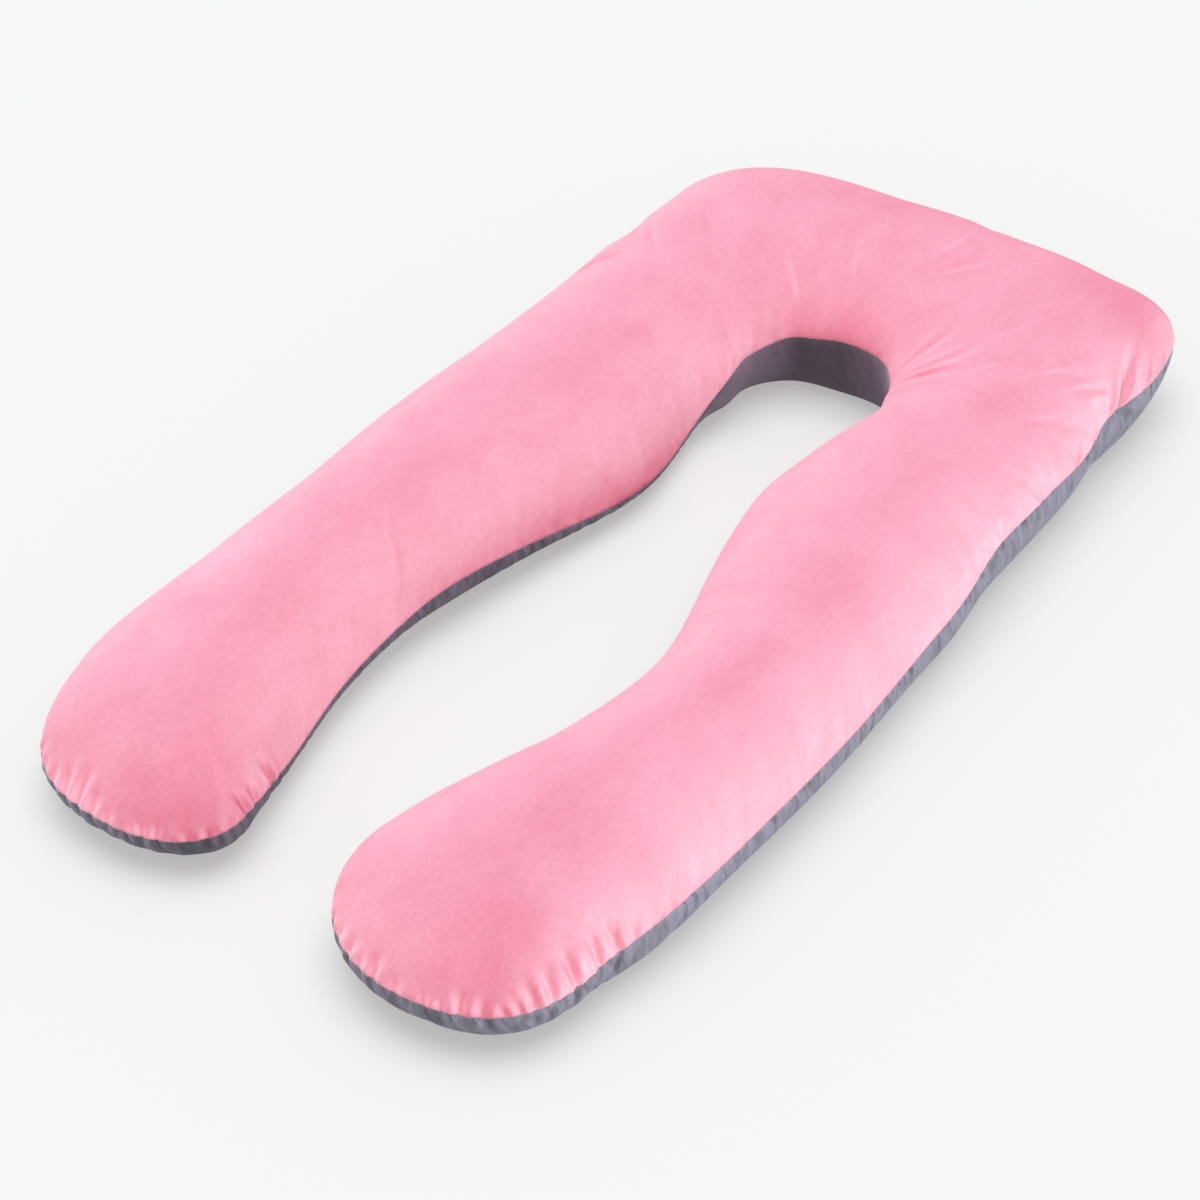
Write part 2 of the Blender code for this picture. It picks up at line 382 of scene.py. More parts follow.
def cubic_reader(where: Array, count: int) -> Array:
    """Weights that read evenly spaced values between their places, smoothly.

    Args:
        where: fractional places, 0 to count - 1.
        count: how many values there are.

    Returns:
        One row of weights for each place asked for.
    """
    start = np.clip(np.floor(where).astype(int), 0, count - 2)
    t = where - start
    shares = (-t / 2 + t ** 2 - t ** 3 / 2, 1 - 2.5 * t ** 2 + 1.5 * t ** 3,
              t / 2 + 2 * t ** 2 - 1.5 * t ** 3, (t ** 3 - t ** 2) / 2)
    weights = np.zeros((len(where), count))
    for step, share in zip((-1, 0, 1, 2), shares):
        np.add.at(weights, (np.arange(len(where)), np.clip(start + step, 0, count - 1)), share)
    return weights


def groove(off: Array, shoulder: float, at: float, width: float) -> Array:
    """Depth across a groove whose shoulders stand out a little.

    Args:
        off: distances from its middle, in its own widths.
        shoulder: how high the shoulders are, as a share of the depth.
        at: how far out they are.
        width: how wide they are.

    Returns:
        Depths, 1 in the middle.
    """
    return np.exp(-off ** 2) - shoulder * np.exp(-((off - at) / width) ** 2)


def quads_of(number: Array, flip: bool) -> list:
    """Lay quads over a grid.

    Args:
        number: vertex numbers, rings by places across.
        flip: whether the quads face down.

    Returns:
        The faces, each four vertex numbers.
    """
    quads = np.stack([number[:-1, :-1], number[:-1, 1:], number[1:, 1:], number[1:, :-1]],
                     axis=-1).reshape(-1, 4)
    return (quads[:, ::-1] if flip else quads).tolist()


def put_in(name: str, data: bpy.types.ID) -> bpy.types.Object:
    """Make an object and link it to the scene.

    Args:
        name: the object's name.
        data: its mesh, light or camera.

    Returns:
        The object.
    """
    made = bpy.data.objects.new(name, data)
    bpy.context.scene.collection.objects.link(made)
    return made


def closed_mesh(name: str, places: Array, faces: list) -> bpy.types.Mesh:
    """Make a mesh and turn its faces outwards.

    Args:
        name: the mesh's name.
        places: one row of xyz for each vertex.
        faces: vertex numbers of each face.

    Returns:
        The mesh, shaded smooth.
    """
    mesh = bpy.data.meshes.new(name)
    mesh.from_pydata(places.tolist(), [], faces)
    work = bmesh.new()
    work.from_mesh(mesh)
    bmesh.ops.recalc_face_normals(work, faces=work.faces)
    work.to_mesh(mesh)
    work.free()
    mesh.shade_smooth()
    return mesh


def report(piece: bpy.types.Object) -> None:
    """Log a finished piece."""
    log.info("%s: %d faces", piece.name, len(piece.data.polygons))


# ------------------------------------------------------------------ the cloth
@dataclass(frozen=True)
class Filling:
    """Fills a coarse copy of the cover, as cloth, and reads how far it moves."""

    rings: int = 300
    tip_rings: int = 20
    across: int = 44
    frames: int = 18
    pressure: float = 3.0
    slack: float = 0.12
    slack_reach: float = 0.060
    keep: float = 0.4
    most: float = 0.007
    even_rings: float = 7.0
    even_places: float = 4.0
    tips_from: float = -0.50
    tips_blend: float = 0.06
    corner: tuple = (0.32, 0.62)
    corner_spread: float = 0.0128
    slack_between: float = 0.25
    slack_at_corners: float = 0.8
    least_slack: float = 0.01
    rest_height: float = 0.0008

    def settle(self, fine: PillowForm) -> dict:
        """Run the cloth and carry its movement over to a finer grid.

        Args:
            fine: the grid that the movement is wanted on.

        Returns:
            The movement of each side's places, same shape as its skin.
        """
        form = PillowForm(rings=self.rings, tip_rings=self.tip_rings, across=self.across)
        top, bottom = form.skin(Side.TOP), form.skin(Side.BOTTOM)
        shape = top.shape[:2]
        on_rim = np.ones(shape, bool)
        on_rim[1:-1, 1:-1] = False
        above = np.arange(top.shape[0] * top.shape[1]).reshape(shape)
        below = above.copy()
        below[~on_rim] = above.size + np.arange((~on_rim).sum())
        places = np.concatenate([top.reshape(-1, 3), bottom[~on_rim]])
        mesh = closed_mesh("Cover_Cloth", places, quads_of(above, False) + quads_of(below, True))
        cover = put_in("Cover_Cloth", mesh)
        moved = self._run(cover, places, self._slack(places, loop_of(above)))
        bpy.data.objects.remove(cover)
        move = moved - places
        log.info("cloth swelled, %.1f mm at most", 1000 * np.linalg.norm(move, axis=1).max())
        top, bottom = self._evened(move[above]), self._evened(move[below])
        return {Side.TOP: self._finer(top, form, fine),
                Side.BOTTOM: self._finer(bottom, form, fine)}

    def _evened(self, move: Array) -> Array:
        """Take the broad swelling out of a side's movement and keep the cloth's unevenness.

        Args:
            move: the side's movement, rings by places across by xyz.

        Returns:
            The unevenness, no more than the most that is wanted.
        """
        shares = []
        for count, reach in zip(move.shape[:2], (self.even_rings, self.even_places)):
            gap = np.subtract.outer(np.arange(count), np.arange(count)) / reach
            shares.append(np.exp(-gap ** 2))
            shares[-1] /= shares[-1].sum(axis=1, keepdims=True)
        rest = move - np.einsum("ij,jkx,lk->ilx", shares[0], move, shares[1], optimize=True)
        size = np.linalg.norm(rest, axis=-1, keepdims=True)
        rest *= self.keep * self.most * np.tanh(size / self.most) / np.clip(size, 1e-9, None)
        log.info("unevenness kept, %.1f mm at most", 1000 * np.linalg.norm(rest, axis=-1).max())
        return rest

    def _slack(self, places: Array, rim: Array) -> Array:
        """Share out the extra cloth: most near the seam, at the tips and corners.

        Args:
            places: the cover's places.
            rim: vertex numbers along the seam.

        Returns:
            The share of each place, 0 to 1.
        """
        tree = KDTree(len(rim))
        for number in rim.tolist():
            tree.insert(places[number], number)
        tree.balance()
        away = np.array([tree.find(place)[2] for place in places.tolist()])
        near = np.clip(1 - away / self.slack_reach, 0, 1)
        x, y = np.abs(places[:, 0]), places[:, 1]
        tips = np.clip((self.tips_from - y) / self.tips_blend, 0, 1)
        away = (x - self.corner[0]) ** 2 + (y - self.corner[1]) ** 2
        corners = self.slack_at_corners * np.exp(-away / self.corner_spread)
        return near * np.clip(self.slack_between + tips + corners, 0, 1)

    def _run(self, cover: bpy.types.Object, places: Array, slack: Array) -> Array:
        """Step the cloth.

        Args:
            cover: the object that becomes cloth.
            places: its places at the start.
            slack: how much extra cloth each place has.

        Returns:
            Its places at the end.
        """
        pins = cover.vertex_groups.new(name="pins")
        pins.add(np.flatnonzero(places[:, 2] < self.rest_height).tolist(), 1.0, "REPLACE")
        loose = cover.vertex_groups.new(name="slack")
        for number in np.flatnonzero(slack > self.least_slack).tolist():
            loose.add([number], float(slack[number]), "REPLACE")
        cloth = cover.modifiers.new("Cloth", "CLOTH")
        settings = {"quality": 5, "mass": 0.15, "tension_stiffness": 20.0,
                    "compression_stiffness": 8.0, "shear_stiffness": 4.0,
                    "bending_stiffness": 0.05, "tension_damping": 5.0,
                    "compression_damping": 5.0, "shear_damping": 5.0, "bending_damping": 0.5,
                    "air_damping": 2.0, "use_pressure": True,
                    "uniform_pressure_force": self.pressure, "vertex_group_mass": "pins",
                    "pin_stiffness": 5.0, "vertex_group_shrink": "slack", "shrink_min": 0.0,
                    "shrink_max": -self.slack}
        for key, value in settings.items():
            setattr(cloth.settings, key, value)
        cloth.settings.effector_weights.gravity = 0.0
        cloth.collision_settings.use_collision = False
        cloth.point_cache.frame_start, cloth.point_cache.frame_end = 1, self.frames
        scene = bpy.context.scene
        for number in range(1, self.frames + 1):
            scene.frame_set(number)
        done = cover.evaluated_get(bpy.context.evaluated_depsgraph_get())
        moved = np.empty(len(places) * 3, np.float32)
        done.data.vertices.foreach_get("co", moved)
        scene.frame_set(1)
        return moved.reshape(-1, 3).astype(float)

    def _finer(self, move: Array, form: PillowForm, fine: PillowForm) -> Array:
        """Read the coarse grid's movement at each place of the fine grid.

        Args:
            move: the movement on the coarse grid.
            form: the coarse form.
            fine: the fine form.

        Returns:
            The movement on the fine grid.
        """
        tip = np.arange(1, fine.tip_rings + 1) * form.tip_rings / fine.tip_rings
        body = np.linspace(0, form.rings - 1, fine.rings) + form.tip_rings
        rings = np.concatenate([form.tip_rings - tip[::-1], body, body[-1] + tip])
        across = np.linspace(0, form.across, fine.across + 1)
        by_ring = cubic_reader(rings, move.shape[0])
        by_place = cubic_reader(across, move.shape[1])
        return np.einsum("ij,jkx,lk->ilx", by_ring, move, by_place, optimize=True)


class SeamMap:
    """Where places lie by the seam: how far along it and how far in from it."""

    def __init__(self, rim: Array) -> None:
        """Keep the seam's places and its length up to each of them.

        Args:
            rim: places round the seam, clockwise from above.
        """
        self.rim = rim
        self.step = np.roll(rim, -1, axis=0) - rim
        self.size = np.linalg.norm(self.step, axis=1)
        self.along = np.concatenate([[0.0], np.cumsum(self.size)])
        self.tree = KDTree(len(rim))
        for number, (x, y, _z) in enumerate(rim.tolist()):
            self.tree.insert((x, y, 0.0), number)
        self.tree.balance()

    @property
    def total(self) -> float:
        """The seam's whole length."""
        return float(self.along[-1])

    def read(self, plan: Array) -> tuple:
        """Read how far along the seam, and how far in, each place of a plan is.

        Args:
            plan: places seen from above, last axis xy.

        Returns:
            Length along the seam, distance in from it, and the seam's height there.
        """
        flat = plan.reshape(-1, 2)
        near = np.array([self.tree.find((x, y, 0.0))[1] for x, y in flat.tolist()])
        best = None
        for shift in (-1, 0):
            i = (near + shift) % len(self.rim)
            offset, way = flat - self.rim[i, :2], self.step[i, :2]
            t = np.clip((offset * way).sum(1) / np.clip((way ** 2).sum(1), 1e-15, None), 0, 1)
            gap = np.linalg.norm(offset - way * t[:, None], axis=1)
            found = (self.along[i] + t * self.size[i], gap, self.rim[i, 2] + t * self.step[i, 2])
            best = found if best is None else tuple(
                np.where(gap < best[1], new, old) for new, old in zip(found, best))
        return tuple(values.reshape(plan.shape[:-1]) for values in best)

    def mark(self, place: tuple) -> float:
        """Length along the seam to its nearest point to a place."""
        return float(self.read(np.array([place]))[0][0])

    def placed(self, gathers: list, landmark: tuple) -> list:
        """Turn gathers told from a landmark into gathers told along the whole seam."""
        start = self.mark(landmark)
        return [g._replace(at=g.at + start) for g in gathers]

    def apart(self, along: Array, at: Array) -> Array:
        """Signed length from one place on the seam to another, the short way round."""
        return (along - at + self.total / 2) % self.total - self.total / 2


# ------------------------------------------------------------------ gathers and pulls
class Gather(NamedTuple):
    """One gather: how far along the seam from its landmark, and its size."""

    at: float
    reach: float
    depth: float
    drift: float
    width: float = 0.0040


class Pull(NamedTuple):
    """One pull over the top, seen from above: its ends, its bow, and its size."""

    x0: float
    y0: float
    x1: float
    y1: float
    bow: float
    depth: float
    width: float


@dataclass(frozen=True)
class GatherRun:
    """Small uneven gathers drawn from a seed, on a stretch of seam by a landmark."""

    seed: int
    start: float
    length: float
    spacing: tuple
    reach: tuple
    depth: tuple
    drift: tuple
    width: tuple

    def gathers(self) -> list:
        """Draw the gathers.

        Returns:
            The gathers, told from the landmark.
        """
        draw = np.random.default_rng(self.seed).uniform
        found, at = [], self.start
        while at < self.start + self.length:
            found.append(Gather(at, draw(*self.reach), draw(*self.depth), draw(*self.drift),
                                draw(*self.width)))
            at += draw(*self.spacing)
        return found


@dataclass(frozen=True)
class Stretch:
    """Gathers told from one landmark on the seam: some placed, some drawn."""

    landmark: tuple
    placed: tuple = ()
    top_runs: tuple = ()
    bottom_runs: tuple = ()


RIGHT_TIP_GATHERS = tuple(Gather(*row) for row in (
    #    at  reach   depth   drift
    ( 0.133, 0.032, 0.0026, -0.010),
    ( 0.109, 0.034, 0.0035, -0.013),
    ( 0.083, 0.039, 0.0041, -0.013),
    ( 0.061, 0.029, 0.0035, -0.006),
    ( 0.040, 0.044, 0.0049, -0.006),
    ( 0.011, 0.028, 0.0038, -0.003),
    (-0.021, 0.030, 0.0032, -0.002),
    (-0.043, 0.023, 0.0026,  0.000),
    (-0.061, 0.037, 0.0043, -0.002),
    (-0.083, 0.030, 0.0032, -0.004),
    (-0.106, 0.021, 0.0023,  0.002),
    (-0.123, 0.030, 0.0032,  0.003),
    (-0.138, 0.041, 0.0043,  0.007),
    (-0.159, 0.051, 0.0046,  0.006),
    (-0.190, 0.060, 0.0064,  0.008),
    (-0.223, 0.062, 0.0055,  0.004),
    (-0.251, 0.051, 0.0043,  0.012),
    (-0.273, 0.032, 0.0029,  0.004),
    (-0.325, 0.032, 0.0023,  0.004),
))

LEFT_TIP_GATHERS = tuple(Gather(*row) for row in (
    #    at  reach   depth   drift
    ( 0.083, 0.046, 0.0029, -0.019),
    ( 0.060, 0.030, 0.0020, -0.011),
    ( 0.038, 0.039, 0.0032, -0.011),
    ( 0.013, 0.051, 0.0043, -0.007),
    (-0.006, 0.069, 0.0064, -0.017),
    (-0.027, 0.044, 0.0043, -0.013),
    (-0.051, 0.025, 0.0032, -0.004),
    (-0.070, 0.021, 0.0026, -0.003),
    (-0.093, 0.033, 0.0041, -0.002),
    (-0.109, 0.034, 0.0049,  0.000),
    (-0.141, 0.021, 0.0026,  0.000),
    (-0.162, 0.023, 0.0023,  0.002),
    (-0.190, 0.023, 0.0023,  0.003),
    (-0.220, 0.048, 0.0041,  0.012),
    (-0.243, 0.040, 0.0041,  0.006),
    (-0.284, 0.051, 0.0058,  0.010),
))

BACK_CORNER_GATHERS = tuple(Gather(*row) for row in (
    #    at  reach   depth   drift   width
    ( 0.064, 0.056, 0.0040, -0.056, 0.0060),
    ( 0.074, 0.066, 0.0046, -0.098, 0.0070),
    ( 0.090, 0.030, 0.0022, -0.018, 0.0040),
    ( 0.006, 0.039, 0.0026, -0.033),
    (-0.035, 0.030, 0.0020, -0.022),
    ( 0.133, 0.021, 0.0026, -0.011),
    ( 0.181, 0.028, 0.0032, -0.015),
    ( 0.262, 0.032, 0.0029,  0.011),
    ( 0.353, 0.025, 0.0023, -0.006),
    ( 0.408, 0.023, 0.0020,  0.000),
))

FINE = {"spacing": (0.008, 0.016), "reach": (0.010, 0.024), "depth": (0.0004, 0.0012),
        "drift": (-0.004, 0.004), "width": (0.0024, 0.0036)}
SPARSE = {"spacing": (0.020, 0.055), "reach": (0.012, 0.035), "depth": (0.0004, 0.0013),
          "drift": (-0.012, 0.012), "width": (0.0030, 0.0050)}
BAND = {"spacing": (0.009, 0.020), "reach": (0.030, 0.060), "depth": (0.0006, 0.0018),
        "drift": (-0.012, 0.012), "width": (0.0030, 0.0045)}
SHALLOW = BAND | {"depth": (0.0003, 0.0008)}

STRETCHES = (
    Stretch(landmark=(0.200, -0.700), placed=RIGHT_TIP_GATHERS,
            top_runs=(GatherRun(seed=11, start=-0.34, length=0.50, **FINE),),
            bottom_runs=(GatherRun(seed=12, start=-0.34, length=0.50, **BAND),)),
    Stretch(landmark=(-0.262, -0.700), placed=LEFT_TIP_GATHERS,
            top_runs=(GatherRun(seed=13, start=-0.31, length=0.44, **FINE),),
            bottom_runs=(GatherRun(seed=14, start=-0.31, length=0.44, **BAND),)),
    Stretch(landmark=(0.350, 0.560), placed=BACK_CORNER_GATHERS,
            top_runs=(GatherRun(seed=15, start=-0.20, length=1.15, **SPARSE),),
            bottom_runs=(GatherRun(seed=16, start=-0.20, length=1.15, **BAND),)),
    Stretch(landmark=(-0.330, 0.560),
            top_runs=(GatherRun(seed=17, start=-0.90, length=1.20, **SPARSE),),
            bottom_runs=(GatherRun(seed=18, start=-0.90, length=1.20, **BAND),)),
    Stretch(landmark=(0.000, 0.415),
            top_runs=(GatherRun(seed=19, start=-0.95, length=1.90, **SPARSE),),
            bottom_runs=(GatherRun(seed=20, start=-0.95, length=0.74, **SHALLOW),
                         GatherRun(seed=21, start=0.20, length=0.75, **SHALLOW))),
)

PULLS = tuple(Pull(*row) for row in (
    #    x0      y0      x1      y1     bow   depth   width
    # from the neck arch out over the right corner
    ( 0.116,  0.360,  0.260,  0.392,  0.006, 0.0016, 0.0045),
    ( 0.128,  0.342,  0.246,  0.360,  0.008, 0.0012, 0.0040),
    ( 0.118,  0.372,  0.194,  0.448, -0.014, 0.0013, 0.0050),
    ( 0.112,  0.390,  0.150,  0.462, -0.006, 0.0011, 0.0050),
    ( 0.140,  0.366,  0.222,  0.400,  0.004, 0.0011, 0.0040),
    # over the head end
    ( 0.062,  0.536,  0.076,  0.630, -0.004, 0.0012, 0.0045),
    ( 0.086,  0.516,  0.120,  0.590, -0.004, 0.0012, 0.0045),
    ( 0.105,  0.530,  0.154,  0.610,  0.004, 0.0010, 0.0045),
    # in from the left arm's outside
    (-0.318,  0.322, -0.222,  0.358,  0.010, 0.0024, 0.0055),
    (-0.316,  0.345, -0.250,  0.372,  0.008, 0.0014, 0.0045),
    # from the neck arch out over the left corner
    (-0.040,  0.425, -0.108,  0.498,  0.003, 0.0011, 0.0060),
    (-0.020,  0.452, -0.080,  0.524,  0.003, 0.0010, 0.0055),
    (-0.084,  0.430, -0.144,  0.484,  0.002, 0.0010, 0.0060),
    ( 0.000,  0.462, -0.044,  0.544,  0.002, 0.0009, 0.0055),
    # in from the right arm's outside
    ( 0.291,  0.262,  0.345,  0.300, -0.006, 0.0005, 0.0045),
    ( 0.358,  0.201,  0.318,  0.211,  0.000, 0.0011, 0.0040),
    ( 0.360,  0.123,  0.322,  0.124,  0.000, 0.0010, 0.0040),
    # over the right arm
    ( 0.135, -0.080,  0.240, -0.100,  0.006, 0.0011, 0.0050),
    ( 0.160, -0.140,  0.252, -0.128,  0.006, 0.0010, 0.0050),
    # in from the left arm's inside
    (-0.060,  0.110, -0.118,  0.048,  0.005, 0.0005, 0.0060),
))


class Swell(NamedTuple):
    """A place where the filling is packed fuller, or slacker if its size is negative."""

    x: float
    y: float
    reach: float
    size: float


SWELLS = tuple(Swell(*row) for row in (
    #     x      y  reach     size
    ( 0.030, 0.640, 0.080,  0.0055),
    ( 0.232, 0.665, 0.045, -0.0036),
    ( 0.320, 0.652, 0.042,  0.0022),
    (-0.300, 0.400, 0.035,  0.0030),
    (-0.298, 0.530, 0.035, -0.0038),
    (-0.250, 0.605, 0.030,  0.0010),
    (-0.075, 0.125, 0.045,  0.0050),
))


class PaintedSpot(NamedTuple):
    """A spot of painted light, or of painted shade if its change is negative.

    The hem is how far in from the seam it goes; by default it goes all the way.
    """

    x: float
    y: float
    reach: float
    change: float
    hem: float = 1.0


# Spots of painted light and painted shade on the panels' colour.
PAINTED_SPOTS = tuple(PaintedSpot(*row) for row in (
    #     x       y  reach  change    hem
    # the left arm's tip
    (-0.232, -0.672, 0.045,   0.27),
    (-0.150, -0.625, 0.035,   0.12),
    (-0.100, -0.595, 0.040,  -0.38),
    (-0.095, -0.540, 0.030,   0.14),
    (-0.215, -0.500, 0.070,   0.08),
    (-0.130, -0.538, 0.035,  -0.08),
    # the right arm's tip
    ( 0.122, -0.680, 0.040,   0.15),
    ( 0.200, -0.700, 0.040,   0.22),
    ( 0.292, -0.620, 0.050,  -0.22),
    ( 0.230, -0.520, 0.080,  -0.08),
    ( 0.090, -0.620, 0.045,  -0.08),
    ( 0.312, -0.480, 0.055,  -0.07),
    ( 0.300, -0.656, 0.030,  -0.10),
    # the left arm
    (-0.105,  0.110, 0.045,   0.10),
    (-0.165, -0.040, 0.055,   0.08),
    (-0.270, -0.345, 0.048,   0.13),
    (-0.140, -0.370, 0.045,   0.10),
    (-0.176, -0.367, 0.040,  -0.12),
    (-0.200,  0.255, 0.040,   0.07),
    (-0.162,  0.047, 0.045,   0.08),
    (-0.249, -0.395, 0.045,   0.09),
    # the right arm
    ( 0.305, -0.240, 0.050,  -0.12),
    ( 0.310, -0.050, 0.060,  -0.09),
    ( 0.185,  0.115, 0.045,   0.08),
    ( 0.238, -0.124, 0.040,   0.08),
    ( 0.337,  0.206, 0.040,   0.10),
    ( 0.348,  0.130, 0.040,   0.08),
    # the head end and its corners
    (-0.040,  0.435, 0.050,   0.14),
    (-0.213,  0.357, 0.045,   0.09),
    ( 0.135,  0.360, 0.028,  -0.08),
    ( 0.320,  0.605, 0.045,  -0.24),
    ( 0.245,  0.600, 0.045,  -0.12),
    ( 0.300,  0.350, 0.045,  -0.10),
    (-0.030,  0.590, 0.060,  -0.13),
    (-0.130,  0.570, 0.045,  -0.08),
    (-0.095,  0.303, 0.030,   0.16),
    (-0.088,  0.362, 0.030,  -0.10),
    ( 0.337,  0.496, 0.024,   0.14),
    ( 0.328,  0.612, 0.030,  -0.09),
    ( 0.049,  0.463, 0.040,   0.08),
    ( 0.247,  0.525, 0.040,  -0.07),
    # along the seam at the tips
    ( 0.336, -0.578, 0.070,   0.70, 0.024),
    ( 0.105, -0.675, 0.060,   0.48, 0.024),
    (-0.288, -0.650, 0.055,   0.42, 0.026),
    (-0.193, -0.668, 0.045,   0.16, 0.024),
    # along the seam inside the left arm, painted shade where the cover curls under
    (-0.135, -0.140, 0.075,  -0.38, 0.030),
    (-0.103, -0.010, 0.075,  -0.50, 0.032),
    (-0.078,  0.130, 0.075,  -0.72, 0.034),
    (-0.086,  0.225, 0.050,  -0.36, 0.030),
    (-0.076,  0.135, 0.050,  -0.14, 0.050),
    (-0.088,  0.055, 0.050,  -0.12, 0.045),
    # along the seam outside the right arm
    ( 0.355,  0.280, 0.150,   0.14, 0.026),
    ( 0.360,  0.050, 0.120,   0.10, 0.026),
    ( 0.365, -0.220, 0.120,   0.08, 0.026),
))


@dataclass(frozen=True)
class PaintedLight:
    """Painted light and shade on a panel's colour, by the way each slope faces."""

    # painted lightness by the way a slope faces: level, across, to each side, to the front and
    # to the back
    flat: float
    lean: float
    side: float
    right: float
    front: float
    back: float
    # painted shade on the U's inner sides that face across it, and in the neck arch
    inner: float = 0.0
    arch: float = 0.0
    # painted shade in the creases of gathers and pulls
    crease_shade: float = 25.0
    # painted spots of light and shade
    brushed_pile_and_painted_spots: tuple = ()
    least: float = 0.3
    most: float = 2.0
    arch_from: float = 0.22
    arch_blend: float = 0.12
    arch_inner: float = 0.4
    arms_painted_bounce: float = 0.35

    def read(self, plan: Array, normal: Array, inner: Array, inwards: Array,
             pressed: Array) -> Array:
        """Read the painted lightness and the slope at each place.

        Args:
            plan: the places seen from above.
            normal: which way each place faces.
            inner: 1 on the inner half of the arms, 0 on the outer half.
            inwards: distance in from the seam.
            pressed: how far each place is pressed in by gathers and pulls.

        Returns:
            Painted lightness, slope, and the share of painted bounce light inside the U.
        """
        x, y = normal[..., 0], normal[..., 1]
        arch = np.clip((plan[..., 1] - self.arch_from) / self.arch_blend, 0, 1)
        # Painted light and shade by the way each slope faces, with painted shade on the U's
        # inner sides, in the neck arch and in creases.
        light = (self.flat + self.lean * x + self.side * x ** 2 + self.right * x ** 3
                 + self.front * np.clip(-y, 0, None) + self.back * np.clip(y, 0, None)
                 + self.inner * inner * np.clip(x, 0, None) * (1 + (self.arch_inner - 1) * arch)
                 + self.arch * inner * arch - self.crease_shade * pressed)
        # painted spots of light and shade
        for spot in self.brushed_pile_and_painted_spots:
            away = ((plan - (spot.x, spot.y)) ** 2).sum(-1)
            light = light + spot.change * np.exp(-away / spot.reach ** 2
                                                 - (inwards / spot.hem) ** 2)
        slope = 1 - np.abs(normal[..., 2])
        # Share of painted bounce light: full in the neck arch, part way on the arms' inner
        # sides.
        painted_bounce = inner * (self.arms_painted_bounce + (1 - self.arms_painted_bounce) * arch)
        return np.dstack([np.clip(light, self.least, self.most), slope, painted_bounce])


